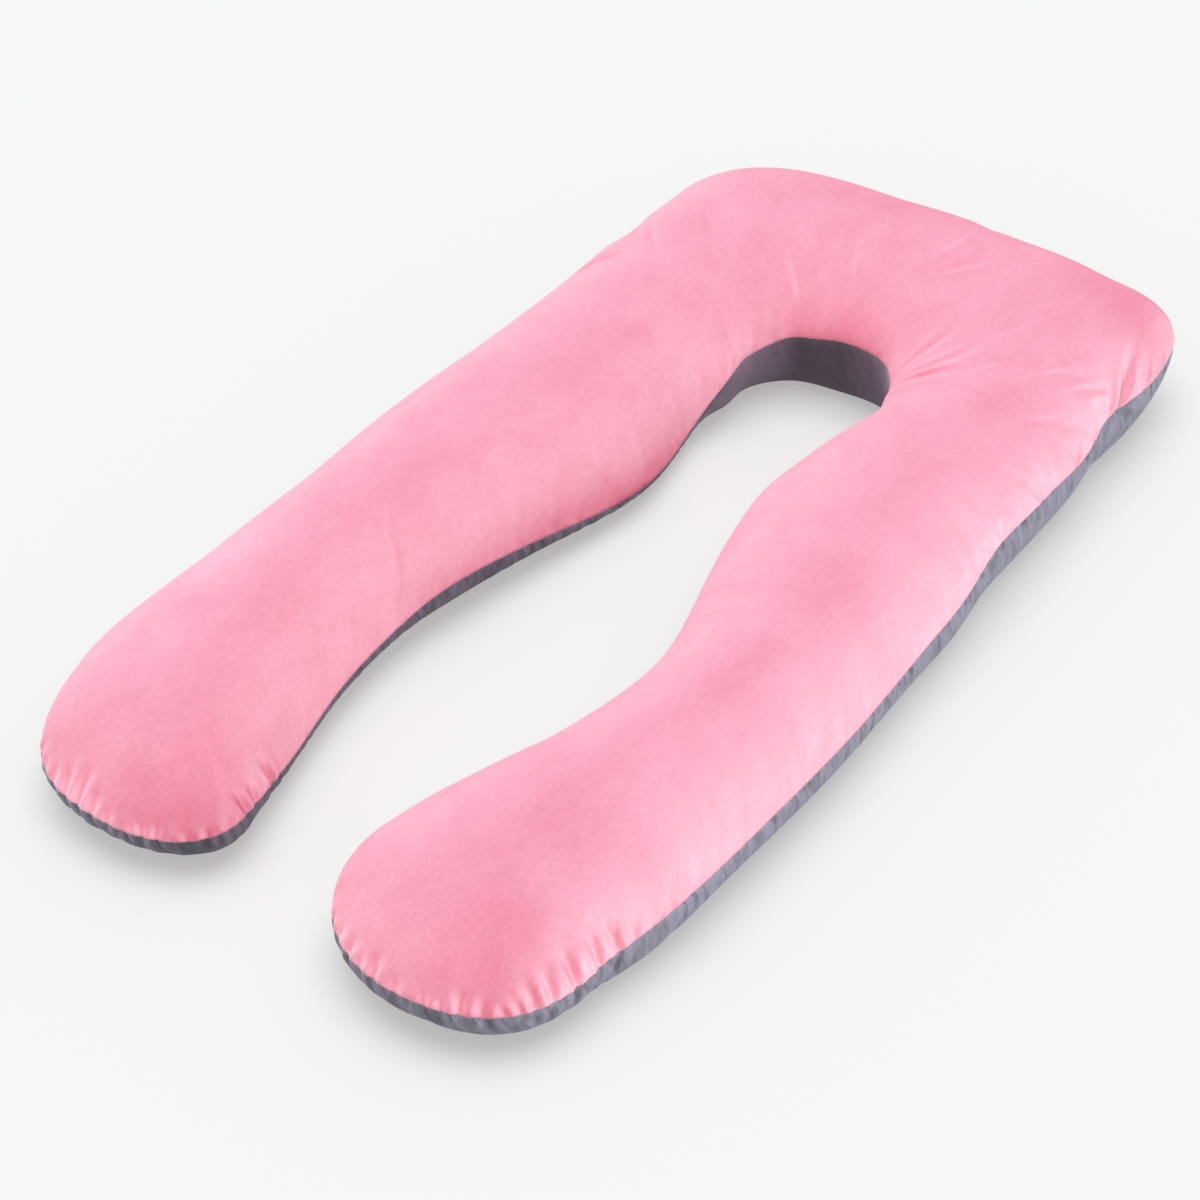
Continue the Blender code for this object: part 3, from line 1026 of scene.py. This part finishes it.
@dataclass
class Tailoring:
    """Works the gathers, pulls, lumps and the seam's roll into the filled cover."""

    roll: float = 0.0018
    roll_reach: float = 0.0040
    roll_gone: float = 0.030
    filled_from: float = 0.030
    swell_from: float = 0.008
    hem: float = 0.004
    gather_hem: float = 0.005
    level_reach: float = 0.008
    at_seam: float = 0.20
    underside: float = 0.40
    lift: float = 0.20
    notch_reach: float = 0.010
    gather_room: float = 0.03
    gather_spread: float = 0.9
    gather_shoulder: tuple = (0.40, 2.1, 0.9)
    pull_starts: float = 5.0
    pull_ends: float = 2.5
    pull_narrow: float = 0.7
    pull_spread: float = 0.6
    pull_shoulder: tuple = (0.45, 2.0, 1.0)
    lump: float = 0.0016
    lump_reach: tuple = (0.025, 0.070)
    lump_area: tuple = (0.40, 0.75)
    lump_seed: int = 5
    lumps: int = 90
    crispness: float = 1.7
    fold_lean: float = 0.35
    marks: dict = field(default_factory=dict)

    def work(self, form: PillowForm, moves: dict, painted_lights: dict) -> dict:
        """Finish both skins, and mark each place for the materials.

        Args:
            form: the lying shape.
            moves: how far the cloth settled, for each side.
            painted_lights: the painted light and shade of each side.

        Returns:
            The finished places of each side's skin; both share the seam.
        """
        seam = SeamMap(loop_of(form.skin(Side.TOP)))
        along, gap, height = seam.read(form.plan)
        outward = self._outward(seam, along)
        shared = [g for part in STRETCHES for g in seam.placed(part.placed, part.landmark)]
        notch = np.clip(self._gathered(seam, along, np.zeros_like(along), shared), 0, None)
        inner = np.broadcast_to(np.clip(0.5 - 2 * np.linspace(-1, 1, form.across + 1), 0, 1),
                                form.plan.shape[:2])
        skins = {}
        for side in Side:
            skin = form.skin(side)
            inwards = np.hypot(gap, skin[..., 2] - height)
            for edge in EDGES:
                inwards[edge] = 0
            pressed = self._pressed(side, form.plan, seam, along, inwards, shared)
            out = self._bulge(side, form.plan, inwards) - pressed
            near = np.exp(-inwards / self.level_reach)[..., None]
            normal = grid_normals(skin) * side.value
            way = unit(near * outward + (1 - near) * normal)
            done = skin + moves[side] + way * out[..., None]
            done[..., 2] += self.lift * notch * np.exp(-inwards / self.notch_reach)
            done[..., 2] = np.maximum(done[..., 2], 0.0)
            skins[side] = done
            # The painted light reads the slopes of the gathers and pulls made steeper, so their
            # painted shade shows more.
            faced = grid_normals(done) * side.value
            faced = unit(normal + self.crispness * (faced - normal))
            self.marks[side] = {
                "by_seam": self._by_seam(seam, along, inwards),
                "painted_light": painted_lights[side].read(form.plan, faced, inner, inwards, pressed)}
        for edge in EDGES:
            skins[Side.BOTTOM][edge] = skins[Side.TOP][edge]
        return skins

    def _pressed(self, side: Side, plan: Array, seam: SeamMap, along: Array, inwards: Array,
                 shared: list) -> Array:
        """How far gathers and pulls press each place of one skin in.

        Args:
            side: which skin.
            plan: its places seen from above.
            seam: the seam.
            along: length along the seam of each place.
            inwards: distance in from the seam of each place.
            shared: the gathers that both skins have.

        Returns:
            Depths, positive inwards.
        """
        own = [g for part in STRETCHES
               for run in (part.top_runs if side is Side.TOP else part.bottom_runs)
               for g in seam.placed(run.gathers(), part.landmark)]
        whole = 1.0 if side is Side.TOP else self.underside
        past_hem = 1 - np.exp(-inwards / self.gather_hem)
        big = self._gathered(seam, along, inwards, shared)
        big = big * (self.at_seam + (whole - self.at_seam) * past_hem)
        away = 1 - np.exp(-inwards / self.hem)
        pressed = big + self._gathered(seam, along, inwards, own) * away
        return pressed + self._pulled(plan) * away if side is Side.TOP else pressed

    def _bulge(self, side: Side, plan: Array, inwards: Array) -> Array:
        """How far the seam's roll, and on top the lumps and fuller places, stand out.

        Args:
            side: which skin.
            plan: its places seen from above.
            inwards: distance in from the seam of each place.

        Returns:
            Heights, positive outwards.
        """
        bulge = self.roll * (1 - np.exp(-inwards / self.roll_reach))
        bulge = bulge * np.exp(-inwards / self.roll_gone)
        if side is Side.TOP:
            bulge = bulge + self._lumps(plan) * (1 - np.exp(-inwards / self.filled_from))
            bulge = bulge + self._swollen(plan) * (1 - np.exp(-inwards / self.swell_from))
        return bulge

    def _by_seam(self, seam: SeamMap, along: Array, inwards: Array) -> Array:
        """Places for textures that follow the seam: round a circle of its length.

        Args:
            seam: the seam.
            along: length along the seam of each place.
            inwards: distance in from the seam of each place.

        Returns:
            Two numbers round the circle, and the distance in.
        """
        turn = (along / seam.total + self.fold_lean * inwards / seam.total) * 2 * math.pi
        radius = seam.total / (2 * math.pi)
        return np.dstack([radius * np.cos(turn), radius * np.sin(turn), inwards])

    @staticmethod
    def _outward(seam: SeamMap, along: Array) -> Array:
        """Read which way the nearest seam faces.

        Args:
            seam: the seam.
            along: length along the seam of each place.

        Returns:
            Level unit vectors pointing out of the pillow, one for each place.
        """
        out = facing_out(seam.rim)
        level = [np.interp(along, seam.along, np.append(out[:, i], out[0, i])) for i in (0, 1)]
        return np.dstack(level + [np.zeros_like(along)])

    def _gathered(self, seam: SeamMap, along: Array, inwards: Array, gathers: list) -> Array:
        """How far the gathers press each place in; their shoulders press out.

        Args:
            seam: the seam.
            along: length along the seam of each place.
            inwards: distance in from the seam of each place.
            gathers: the gathers, placed along the whole seam.

        Returns:
            Depths, positive inwards.
        """
        depth = np.zeros_like(along)
        for g in gathers:
            beside = np.abs(seam.apart(along, g.at)) < self.gather_room + abs(g.drift)
            near = beside & (inwards < g.reach)
            share = inwards[near] / g.reach
            off = np.abs(seam.apart(along[near], g.at) - g.drift * share)
            off = off / (g.width * (1 + self.gather_spread * share))
            across = groove(off, *self.gather_shoulder)
            depth[near] += g.depth * across * (1 - share ** 2) ** 2
        return depth

    def _pulled(self, plan: Array) -> Array:
        """How far the pulls press each place in.

        Args:
            plan: the places seen from above.

        Returns:
            Depths, positive inwards.
        """
        depth = np.zeros(plan.shape[:2])
        for pull in PULLS:
            start, end = np.array([pull.x0, pull.y0]), np.array([pull.x1, pull.y1])
            way = end - start
            size = np.linalg.norm(way)
            way = way / size
            offset = plan - start
            share = (offset @ way) / size
            aside = offset @ np.array([-way[1], way[0]]) - pull.bow * 4 * share * (1 - share)
            fade = (np.clip(share * self.pull_starts, 0, 1)
                    * np.clip((1 - share) * self.pull_ends, 0, 1))
            widening = self.pull_narrow + self.pull_spread * np.clip(share, 0, 1)
            off = np.abs(aside) / (pull.width * widening)
            across = groove(off, *self.pull_shoulder)
            depth += pull.depth * across * fade * (share > 0) * (share < 1)
        return depth

    @staticmethod
    def _swollen(plan: Array) -> Array:
        """How far the fuller places stand out."""
        return sum(swell.size * np.exp(-((plan - (swell.x, swell.y)) ** 2).sum(-1)
                                       / swell.reach ** 2) for swell in SWELLS)

    def _lumps(self, plan: Array) -> Array:
        """Broad unevenness of the filling under the top, drawn from a seed.

        Args:
            plan: the places seen from above.

        Returns:
            How far each place stands out.
        """
        draw = np.random.default_rng(self.lump_seed)
        area = np.array(self.lump_area)
        height = np.zeros(plan.shape[:2])
        for _ in range(self.lumps):
            middle = draw.uniform(-area, area)
            reach = draw.uniform(*self.lump_reach)
            sign = draw.uniform(-1, 1)
            height += sign * np.exp(-((plan - middle) ** 2).sum(-1) / reach ** 2)
        return self.lump * height


# ------------------------------------------------------------------ shader helpers
class Wire:
    """A node's output socket or a number, with arithmetic that adds Math nodes."""

    def __init__(self, tree: "Tree", socket: bpy.types.NodeSocket | None) -> None:
        """Keep the tree and the socket."""
        self.tree, self.socket = tree, socket

    def _math(self, operation: str, a: "Wire | float", b: "Wire | float") -> "Wire":
        """Add one Math node and return its output."""
        return self.tree.add("ShaderNodeMath", {"operation": operation}, {0: a, 1: b})

    def __add__(self, other: "Wire | float") -> "Wire":
        """Sum."""
        return self._math("ADD", self, other)

    __radd__ = __add__

    def __mul__(self, other: "Wire | float") -> "Wire":
        """Product."""
        return self._math("MULTIPLY", self, other)

    __rmul__ = __mul__

    def __sub__(self, other: "Wire | float") -> "Wire":
        """Difference."""
        return self._math("SUBTRACT", self, other)

    def __rsub__(self, other: "Wire | float") -> "Wire":
        """Reflected difference."""
        return self._math("SUBTRACT", other, self)


class Tree:
    """A node tree and the one way nodes are added to it."""

    def __init__(self, tree: bpy.types.NodeTree) -> None:
        """Keep the tree, emptied."""
        self.tree = tree
        self.tree.nodes.clear()

    def add(self, kind: str, settings: dict | None = None, inputs: dict | None = None,
            output: str | int = 0) -> Wire:
        """Add one node.

        Args:
            kind: the node's type.
            settings: its properties, set first.
            inputs: values or wires for its sockets, by name or number.
            output: which output to return.

        Returns:
            The wire of that output.
        """
        node = self.tree.nodes.new(kind)
        for key, value in (settings or {}).items():
            setattr(node, key, value)
        for key, value in (inputs or {}).items():
            socket = node.inputs[key]
            if isinstance(value, Wire):
                self.tree.links.new(value.socket, socket)
            else:
                socket.default_value = value
        return Wire(self, node.outputs[output]) if node.outputs else Wire(self, None)


class ShaderTree(Tree):
    """A material's node tree."""

    def __init__(self, name: str) -> None:
        """Make the material with an empty tree."""
        self.material = bpy.data.materials.new(name)
        self.material.use_nodes = True
        super().__init__(self.material.node_tree)

    def noise(self, place: Wire, scale: float, detail: float, roughness: float,
              distortion: float = 0.0) -> Wire:
        """Add a Noise Texture.

        Args:
            place: where it is read.
            scale: waves to the metre.
            detail: how many finer layers it has.
            roughness: how strong the finer layers are.
            distortion: how far it is stirred.

        Returns:
            Its value, about 0.5 on average.
        """
        inputs = {"Vector": place, "Scale": scale, "Detail": detail,
                  "Roughness": roughness, "Distortion": distortion}
        return self.add("ShaderNodeTexNoise", {"noise_dimensions": "3D"}, inputs)

    def tint(self, share: Wire, dark: tuple, light: tuple) -> Wire:
        """Mix two colours.

        Args:
            share: 0 for the dark one to 1 for the light one.
            dark: the colour at 0.
            light: the colour at 1.

        Returns:
            The mixed colour.
        """
        return self.add("ShaderNodeMix", {"data_type": "RGBA", "clamp_factor": True},
                        {0: share, 6: dark, 7: light}, 2)

    def ramp(self, value: Wire, start: float, end: float, low: float, high: float) -> Wire:
        """Turn one span of numbers into another, held at its ends.

        Args:
            value: what is read.
            start: where the span starts.
            end: where the span ends.
            low: the result at the start.
            high: the result at the end.

        Returns:
            The result.
        """
        inputs = {"Value": value, "From Min": start, "From Max": end,
                  "To Min": low, "To Max": high}
        return self.add("ShaderNodeMapRange", {"clamp": True}, inputs)

    def part(self, vector: Wire, axis: str) -> Wire:
        """Read one number of a vector."""
        return self.add("ShaderNodeSeparateXYZ", None, {"Vector": vector}, axis)

    def stretched(self, place: Wire, scale: tuple, turn: float = 0.0) -> Wire:
        """Turn a place about Z and scale it.

        Args:
            place: the place.
            scale: by how much along each axis.
            turn: by how much, in radians.

        Returns:
            The place for a texture to be read at.
        """
        return self.add("ShaderNodeMapping", {"vector_type": "POINT"},
                        {"Vector": place, "Rotation": (0.0, 0.0, turn), "Scale": scale})

    def multiplied(self, one: Wire, other: Wire) -> Wire:
        """Multiply two colours."""
        return self.add("ShaderNodeVectorMath", {"operation": "MULTIPLY"}, {0: one, 1: other})


@dataclass(frozen=True)
class Velour:
    """Short-pile velour, coloured between painted shade and painted light by the way each place
    faces.
    """

    name: str
    flat: tuple
    sloped_painted_tint: tuple
    painted_bounce: tuple
    unlit: tuple
    full_lit: tuple
    patches: float
    strokes: float
    grain: float
    folds: float
    fold_shade: float
    fold_reach: float
    folds_from: float = 0.001
    folds_lost_inside: float = 0.75
    fold_stretch: tuple = (1.0, 1.0, 0.20)
    streak_stretch: tuple = (1.0, 1.0, 0.16)
    streaks_from: float = 0.010
    streaks_reach: float = 0.140
    brushed_stretch: tuple = (1.0, 0.6, 1.0)
    brushed_turn: float = 0.35
    fluffed_to: float = -0.62
    fluffed_from: float = -0.32
    fluff_at_tips: float = 1.5
    fluff_elsewhere: float = 0.6

    def material(self) -> bpy.types.Material:
        """Build the material.

        Returns:
            The material.
        """
        t = ShaderTree(self.name)
        place = t.add("ShaderNodeTexCoord", output="Object")
        by_seam = t.add("ShaderNodeAttribute", {"attribute_name": "by_seam"}, output="Vector")
        # Painted lightness, slope, and share of painted bounce light, worked out for each place.
        painted_light = t.add("ShaderNodeAttribute", {"attribute_name": "painted_light"}, output="Vector")
        light, slope, inside = t.part(painted_light, "X"), t.part(painted_light, "Y"), t.part(painted_light, "Z")
        inwards = t.part(by_seam, "Z")
        drawn = t.stretched(place, self.brushed_stretch, self.brushed_turn)
        clouds = t.noise(place, scale=7.0, detail=2.0, roughness=0.5, distortion=0.3)
        # random patches of brushed pile
        brushed_pile_and_painted_spots = t.noise(drawn, scale=26.0, detail=3.0, roughness=0.55, distortion=0.35)
        strokes = t.noise(drawn, scale=170.0, detail=4.0, roughness=0.62, distortion=0.3)
        pile = t.noise(place, scale=640.0, detail=3.0, roughness=0.7)
        streaks = t.noise(t.stretched(by_seam, self.streak_stretch), scale=70.0, detail=3.0,
                          roughness=0.55, distortion=0.2)
        fold = t.noise(t.stretched(by_seam, self.fold_stretch), scale=105.0, detail=2.0,
                       roughness=0.5, distortion=0.3)
        near = (t.ramp(inwards, self.folds_from, self.fold_reach, 1.0, 0.0)
                * (1.0 - inside * self.folds_lost_inside))
        close = t.ramp(inwards, self.streaks_from, self.streaks_reach, 1.0, 0.0)
        fluffed = t.ramp(t.part(place, "Y"), self.fluffed_to, self.fluffed_from,
                         self.fluff_at_tips * self.grain, self.fluff_elsewhere * self.grain)
        # Painted light and shade, with random pile patches and streaks, and painted shade along
        # the folds by the seam.
        lift = light * (1.0 + (clouds - 0.5) * (0.5 * self.patches)
                        + (brushed_pile_and_painted_spots - 0.5) * self.patches
                        + (streaks - 0.5) * close * self.patches
                        + (fold - 0.5) * near * self.fold_shade)
        # Mixed between a painted-shade copy and a painted-light copy of the colour.
        lit = t.tint(lift * 0.5, self.unlit, self.full_lit)
        # Painted tint on slopes: redder on the pink where the surface slopes.
        coat = t.multiplied(t.tint(slope, self.flat, self.sloped_painted_tint), lit)
        # Painted bounce light: a warmer tint inside the U, where the pink throws light onto the
        # grey.
        coat = t.multiplied(coat, t.tint(inside, WHITE, self.painted_bounce))
        shade = 1.0 + (strokes - 0.5) * self.strokes + (pile - 0.5) * fluffed
        colour = t.add("ShaderNodeVectorMath", {"operation": "SCALE"},
                       {"Vector": coat, "Scale": shade})
        fine_bump = t.add("ShaderNodeBump", None, {
            "Strength": 0.45, "Distance": 0.0008, "Height": strokes * 0.5 + pile * 0.5})
        bump = t.add("ShaderNodeBump", None, {
            "Strength": self.folds, "Distance": 0.004, "Height": fold * near,
            "Normal": fine_bump})
        shader = t.add("ShaderNodeBsdfPrincipled", None, {
            "Base Color": colour, "Roughness": 0.82 + (brushed_pile_and_painted_spots - 0.5) * 0.2, "Normal": bump,
            "Sheen Weight": 0.05, "Sheen Roughness": 0.4, "Specular IOR Level": 0.1})
        t.add("ShaderNodeOutputMaterial", None, {"Surface": shader})
        return t.material


@dataclass(frozen=True)
class Thread:
    """Sewing thread."""

    name: str
    dark: tuple
    light: tuple

    def material(self) -> bpy.types.Material:
        """Build the material.

        Returns:
            The material.
        """
        t = ShaderTree(self.name)
        place = t.add("ShaderNodeTexCoord", output="Object")
        ply = t.noise(place, scale=900.0, detail=2.0, roughness=0.5)
        shader = t.add("ShaderNodeBsdfPrincipled", None, {
            "Base Color": t.tint(ply, self.dark, self.light), "Roughness": 0.6,
            "Specular IOR Level": 0.3})
        t.add("ShaderNodeOutputMaterial", None, {"Surface": shader})
        return t.material


# ------------------------------------------------------------------ the sewing
@dataclass
class SeamStitches:
    """The stitches that show along the seam, set out along it by Geometry Nodes."""

    name: str
    slot: str
    finish: Thread
    pitch: float = 0.0034
    length: float = 0.0022
    thickness: float = 0.0006
    out: float = 0.0003
    shortest: float = 0.8
    longest: float = 1.15
    seed: int = 7

    def build(self, rim: Array, outward: Array) -> bpy.types.Object:
        """Make the stitches along the seam.

        Args:
            rim: places round the seam.
            outward: level unit vectors pointing out of the pillow there.

        Returns:
            The finished object.
        """
        path = rim + outward * self.out
        mesh = bpy.data.meshes.new("Seam_Path")
        count = len(path)
        mesh.from_pydata(path.tolist(), [(i, (i + 1) % count) for i in range(count)], [])
        guide = put_in("Seam_Path", mesh)
        material = self.finish.material()
        group = self._nodes(material)
        modifier = guide.modifiers.new("Stitches", "NODES")
        modifier.node_group = group
        values = {"Pitch": self.pitch, "Length": self.length, "Thickness": self.thickness,
                  "Seed": self.seed}
        for item in group.interface.items_tree:
            if item.item_type == "SOCKET" and item.in_out == "INPUT" and item.name in values:
                modifier[item.identifier] = values[item.name]
        done = guide.evaluated_get(bpy.context.evaluated_depsgraph_get())
        result = bpy.data.meshes.new_from_object(done)
        result.name = self.name
        guide.modifiers.remove(modifier)
        bpy.data.objects.remove(guide)
        result.materials.clear()
        result.materials.append(material)
        return put_in(self.name, result)

    def _nodes(self, material: bpy.types.Material) -> bpy.types.NodeTree:
        """Build the tree that turns a path into a row of stitches.

        Args:
            material: what the stitches are made of.

        Returns:
            The tree, with its sizes and seed as inputs.
        """
        group = bpy.data.node_groups.new("Stitch_Row", "GeometryNodeTree")
        face = group.interface
        face.new_socket("Path", in_out="INPUT", socket_type="NodeSocketGeometry")
        for name in ("Pitch", "Length", "Thickness"):
            face.new_socket(name, in_out="INPUT", socket_type="NodeSocketFloat")
        face.new_socket("Seed", in_out="INPUT", socket_type="NodeSocketInt")
        face.new_socket("Stitches", in_out="OUTPUT", socket_type="NodeSocketGeometry")
        t = Tree(group)
        entry = t.add("NodeGroupInput", output="Path")
        given = {name: Wire(t, entry.socket.node.outputs[name])
                 for name in ("Pitch", "Length", "Thickness", "Seed")}
        curve = t.add("GeometryNodeMeshToCurve", None, {"Mesh": entry})
        row = t.add("GeometryNodeResampleCurve", {"mode": "LENGTH"},
                    {"Curve": curve, "Length": given["Pitch"]})
        bead = t.add("GeometryNodeMeshUVSphere", None,
                     {"Segments": 6, "Rings": 4, "Radius": 0.5})
        tangent = t.add("GeometryNodeInputTangent")
        turn = t.add("FunctionNodeAlignRotationToVector", {"axis": "Z"}, {"Vector": tangent})
        uneven = t.add("FunctionNodeRandomValue", {"data_type": "FLOAT"},
                       {2: self.shortest, 3: self.longest, "Seed": given["Seed"]}, 1)
        size = t.add("ShaderNodeCombineXYZ", None, {
            "X": given["Thickness"], "Y": given["Thickness"], "Z": given["Length"] * uneven})
        placed = t.add("GeometryNodeInstanceOnPoints", None, {
            "Points": row, "Instance": bead, "Rotation": turn, "Scale": size})
        real = t.add("GeometryNodeRealizeInstances", None, {"Geometry": placed})
        dressed = t.add("GeometryNodeSetMaterial", None,
                        {"Geometry": real, "Material": material})
        t.add("NodeGroupOutput", None, {"Stitches": dressed})
        return group

    def declare(self, piece: bpy.types.Object) -> None:
        """Tie the piece to the frame."""
        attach(piece, "root")


# ------------------------------------------------------------------ the two panels
@dataclass
class PanelPiece:
    """One panel with its half of the filling, closed by the sheet at the seam."""

    name: str
    side: Side
    node: str
    slot: str
    finish: Velour
    fill: float = 0.85
    seam_gap: float = 0.00015

    def build(self, places: Array, marks: dict, tip_rings: int) -> bpy.types.Object:
        """Make the panel's closed mesh and dress it.

        Args:
            places: the finished skin, rings by places across by xyz.
            marks: numbers carried on each place for the material, by name.
            tip_rings: how many rings each round tip has.

        Returns:
            The finished object.
        """
        rings, across = places.shape[:2]
        lift = self.seam_gap * self.side.value
        places = places.copy()
        for edge in (np.s_[0, :, 2], np.s_[-1, :, 2], np.s_[1:-1, 0, 2], np.s_[1:-1, -1, 2]):
            places[edge] += lift
        number = np.arange(rings * across).reshape(rings, across)
        faces = quads_of(number, self.side is Side.BOTTOM) + self._inner_sheet(number, tip_rings)
        mesh = closed_mesh(self.name, places.reshape(-1, 3), faces)
        for name, values in marks.items():
            kind, key = (("FLOAT", "value") if values.ndim == 2 else ("FLOAT_VECTOR", "vector"))
            mark = mesh.attributes.new(name, kind, "POINT")
            mark.data.foreach_set(key, values.astype(np.float32).ravel())
        mesh.materials.append(self.finish.material())
        return put_in(self.name, mesh)

    @staticmethod
    def _inner_sheet(number: Array, tip_rings: int) -> list:
        """Lay the sheet between the halves, from seam to seam.

        Args:
            number: the skin's vertex numbers, rings by places across.
            tip_rings: how many rings each round tip has.

        Returns:
            The faces: a strip across each ring, and one for each tip.
        """
        last = number.shape[0] - 1
        faces = []
        for r in range(tip_rings, last - tip_rings):
            faces.append((number[r, 0], number[r + 1, 0], number[r + 1, -1], number[r, -1]))
        for end, mouth, step in ((0, tip_rings, -1), (last, last - tip_rings, 1)):
            loop = [number[r, 0] for r in range(mouth, end + step, step)]
            loop += list(number[end, 1:-1])
            loop += [number[r, -1] for r in range(end, mouth - step, -step)]
            faces.append(tuple(loop))
        return [tuple(int(n) for n in f) for f in faces]

    def declare(self, piece: bpy.types.Object) -> None:
        """Tie the piece to the frame.

        Args:
            piece: the panel's finished object.
        """
        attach(piece, "root")
        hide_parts(self.node)


# ------------------------------------------------------------------ the studio
@dataclass
class Studio:
    """Plain pale floor, soft overhead light and the camera."""

    focal_px: float = 3857.0
    image_px: float = 1200.0
    sensor: float = 36.0
    pitch: float = 40.27
    azimuth: float = 34.25
    distance: float = 4.35
    target: tuple = (-0.0231, -0.0283, 0.0)
    sun_strength: float = 2.2
    sun_angle: float = 50.0
    sky_strength: float = 0.815
    floor_reach: float = 14.0
    floor_paint: tuple = (0.360, 0.365, 0.372, 1.0)
    floor_glow: float = 0.386
    glow_tint: tuple = (1.0, 0.985, 0.968, 1.0)

    def build(self) -> None:
        """Add the floor, the lights and the camera."""
        self._floor()
        self._lights()
        self._camera()

    def _floor(self) -> None:
        """Add the floor."""
        mesh = bpy.data.meshes.new("Studio_Floor")
        reach = self.floor_reach
        mesh.from_pydata([(-reach, -reach, 0), (reach, -reach, 0), (reach, reach, 0),
                          (-reach, reach, 0)], [], [(0, 1, 2, 3)])
        t = ShaderTree("Studio_Floor_Paint")
        shader = t.add("ShaderNodeBsdfPrincipled", None, {
            "Base Color": self.floor_paint, "Roughness": 0.9, "Specular IOR Level": 0.0,
            "Emission Color": self.glow_tint, "Emission Strength": self.floor_glow})
        t.add("ShaderNodeOutputMaterial", None, {"Surface": shader})
        mesh.materials.append(t.material)
        put_in("Studio_Floor", mesh)

    def _lights(self) -> None:
        """Add a wide soft sun and an even sky."""
        sun = bpy.data.lights.new("Soft_Sun", "SUN")
        sun.energy = self.sun_strength
        sun.angle = math.radians(self.sun_angle)
        put_in("Soft_Sun", sun)
        world = bpy.data.worlds.new("Studio_Sky")
        world.use_nodes = True
        back = world.node_tree.nodes["Background"]
        back.inputs["Color"].default_value = WHITE
        back.inputs["Strength"].default_value = self.sky_strength
        bpy.context.scene.world = world

    def _camera(self) -> None:
        """Add the camera at its angle."""
        lens = bpy.data.cameras.new("Camera")
        lens.sensor_width = self.sensor
        lens.lens = self.focal_px / self.image_px * self.sensor
        lens.clip_end = 60.0
        camera = put_in("Camera", lens)
        a, p = math.radians(self.azimuth), math.radians(self.pitch)
        back = Vector((math.sin(a) * math.cos(p), -math.cos(a) * math.cos(p), math.sin(p)))
        camera.location = Vector(self.target) + back * self.distance
        camera.rotation_euler = (math.pi / 2 - p, 0.0, a)
        bpy.context.scene.camera = camera
        bpy.context.scene.view_settings.view_transform = "Standard"


# Pink velour: its unlit and full_lit colours are painted shade and painted light, with a redder
# painted tint on slopes.
PINK = Velour("Pink_Velour", flat=(0.652, 0.322, 0.423, 1.0), sloped_painted_tint=(0.885, 0.322, 0.423, 1.0),
              painted_bounce=WHITE, unlit=(0.70, 0.0, 0.15, 1.0),
              full_lit=(1.40, 2.0, 1.83, 1.0), patches=0.30, strokes=0.24, grain=0.44,
              folds=0.25, fold_shade=0.10, fold_reach=0.025)
# Grey velour, with painted bounce light from the pink inside the U.
GREY = Velour("Grey_Velour", flat=(0.187, 0.183, 0.228, 1.0), sloped_painted_tint=(0.187, 0.183, 0.228, 1.0),
              painted_bounce=(1.35, 1.08, 1.13, 1.0), unlit=(0.0, 0.0, 0.0, 1.0),
              full_lit=(2.0, 2.0, 2.0, 1.0), patches=0.20, strokes=0.25, grain=0.30,
              folds=1.0, fold_shade=2.2, fold_reach=0.090)
SEWING = Thread("Pink_Thread", dark=(0.80, 0.48, 0.56, 1.0), light=(0.93, 0.66, 0.72, 1.0))
# Painted light and shade of each panel, set by the way each slope faces.
PAINTED_LIGHTS = {Side.TOP: PaintedLight(flat=0.860, lean=-0.22, side=0.74, right=0.43, front=-0.12, back=-0.18,
                      inner=-0.30, crease_shade=8.0, brushed_pile_and_painted_spots=PAINTED_SPOTS),
        Side.BOTTOM: PaintedLight(flat=1.0, lean=-0.25, side=1.15, right=0.0, front=-0.12, back=-0.20,
                         inner=-1.10, arch=-0.40, crease_shade=30.0)}


def main() -> None:
    """Build the pillow and the studio."""
    logging.basicConfig(level=logging.INFO, format="%(name)s: %(message)s")
    form = PillowForm()
    tailoring = Tailoring()
    skins = tailoring.work(form, Filling().settle(form), PAINTED_LIGHTS)
    panels = (PanelPiece("Pillow_Top", Side.TOP, "Top_Panel", "pink_velour", PINK),
              PanelPiece("Pillow_Bottom", Side.BOTTOM, "Bottom_Panel", "grey_velour", GREY))
    for panel in panels:
        piece = panel.build(skins[panel.side], tailoring.marks[panel.side], form.tip_rings)
        panel.declare(piece)
        report(piece)
    sewing = SeamStitches("Seam_Stitches", "pink_velour", SEWING)
    rim = loop_of(skins[Side.TOP])
    piece = sewing.build(rim, facing_out(rim))
    sewing.declare(piece)
    report(piece)
    Studio().build()


if __name__ == "__main__":
    main()
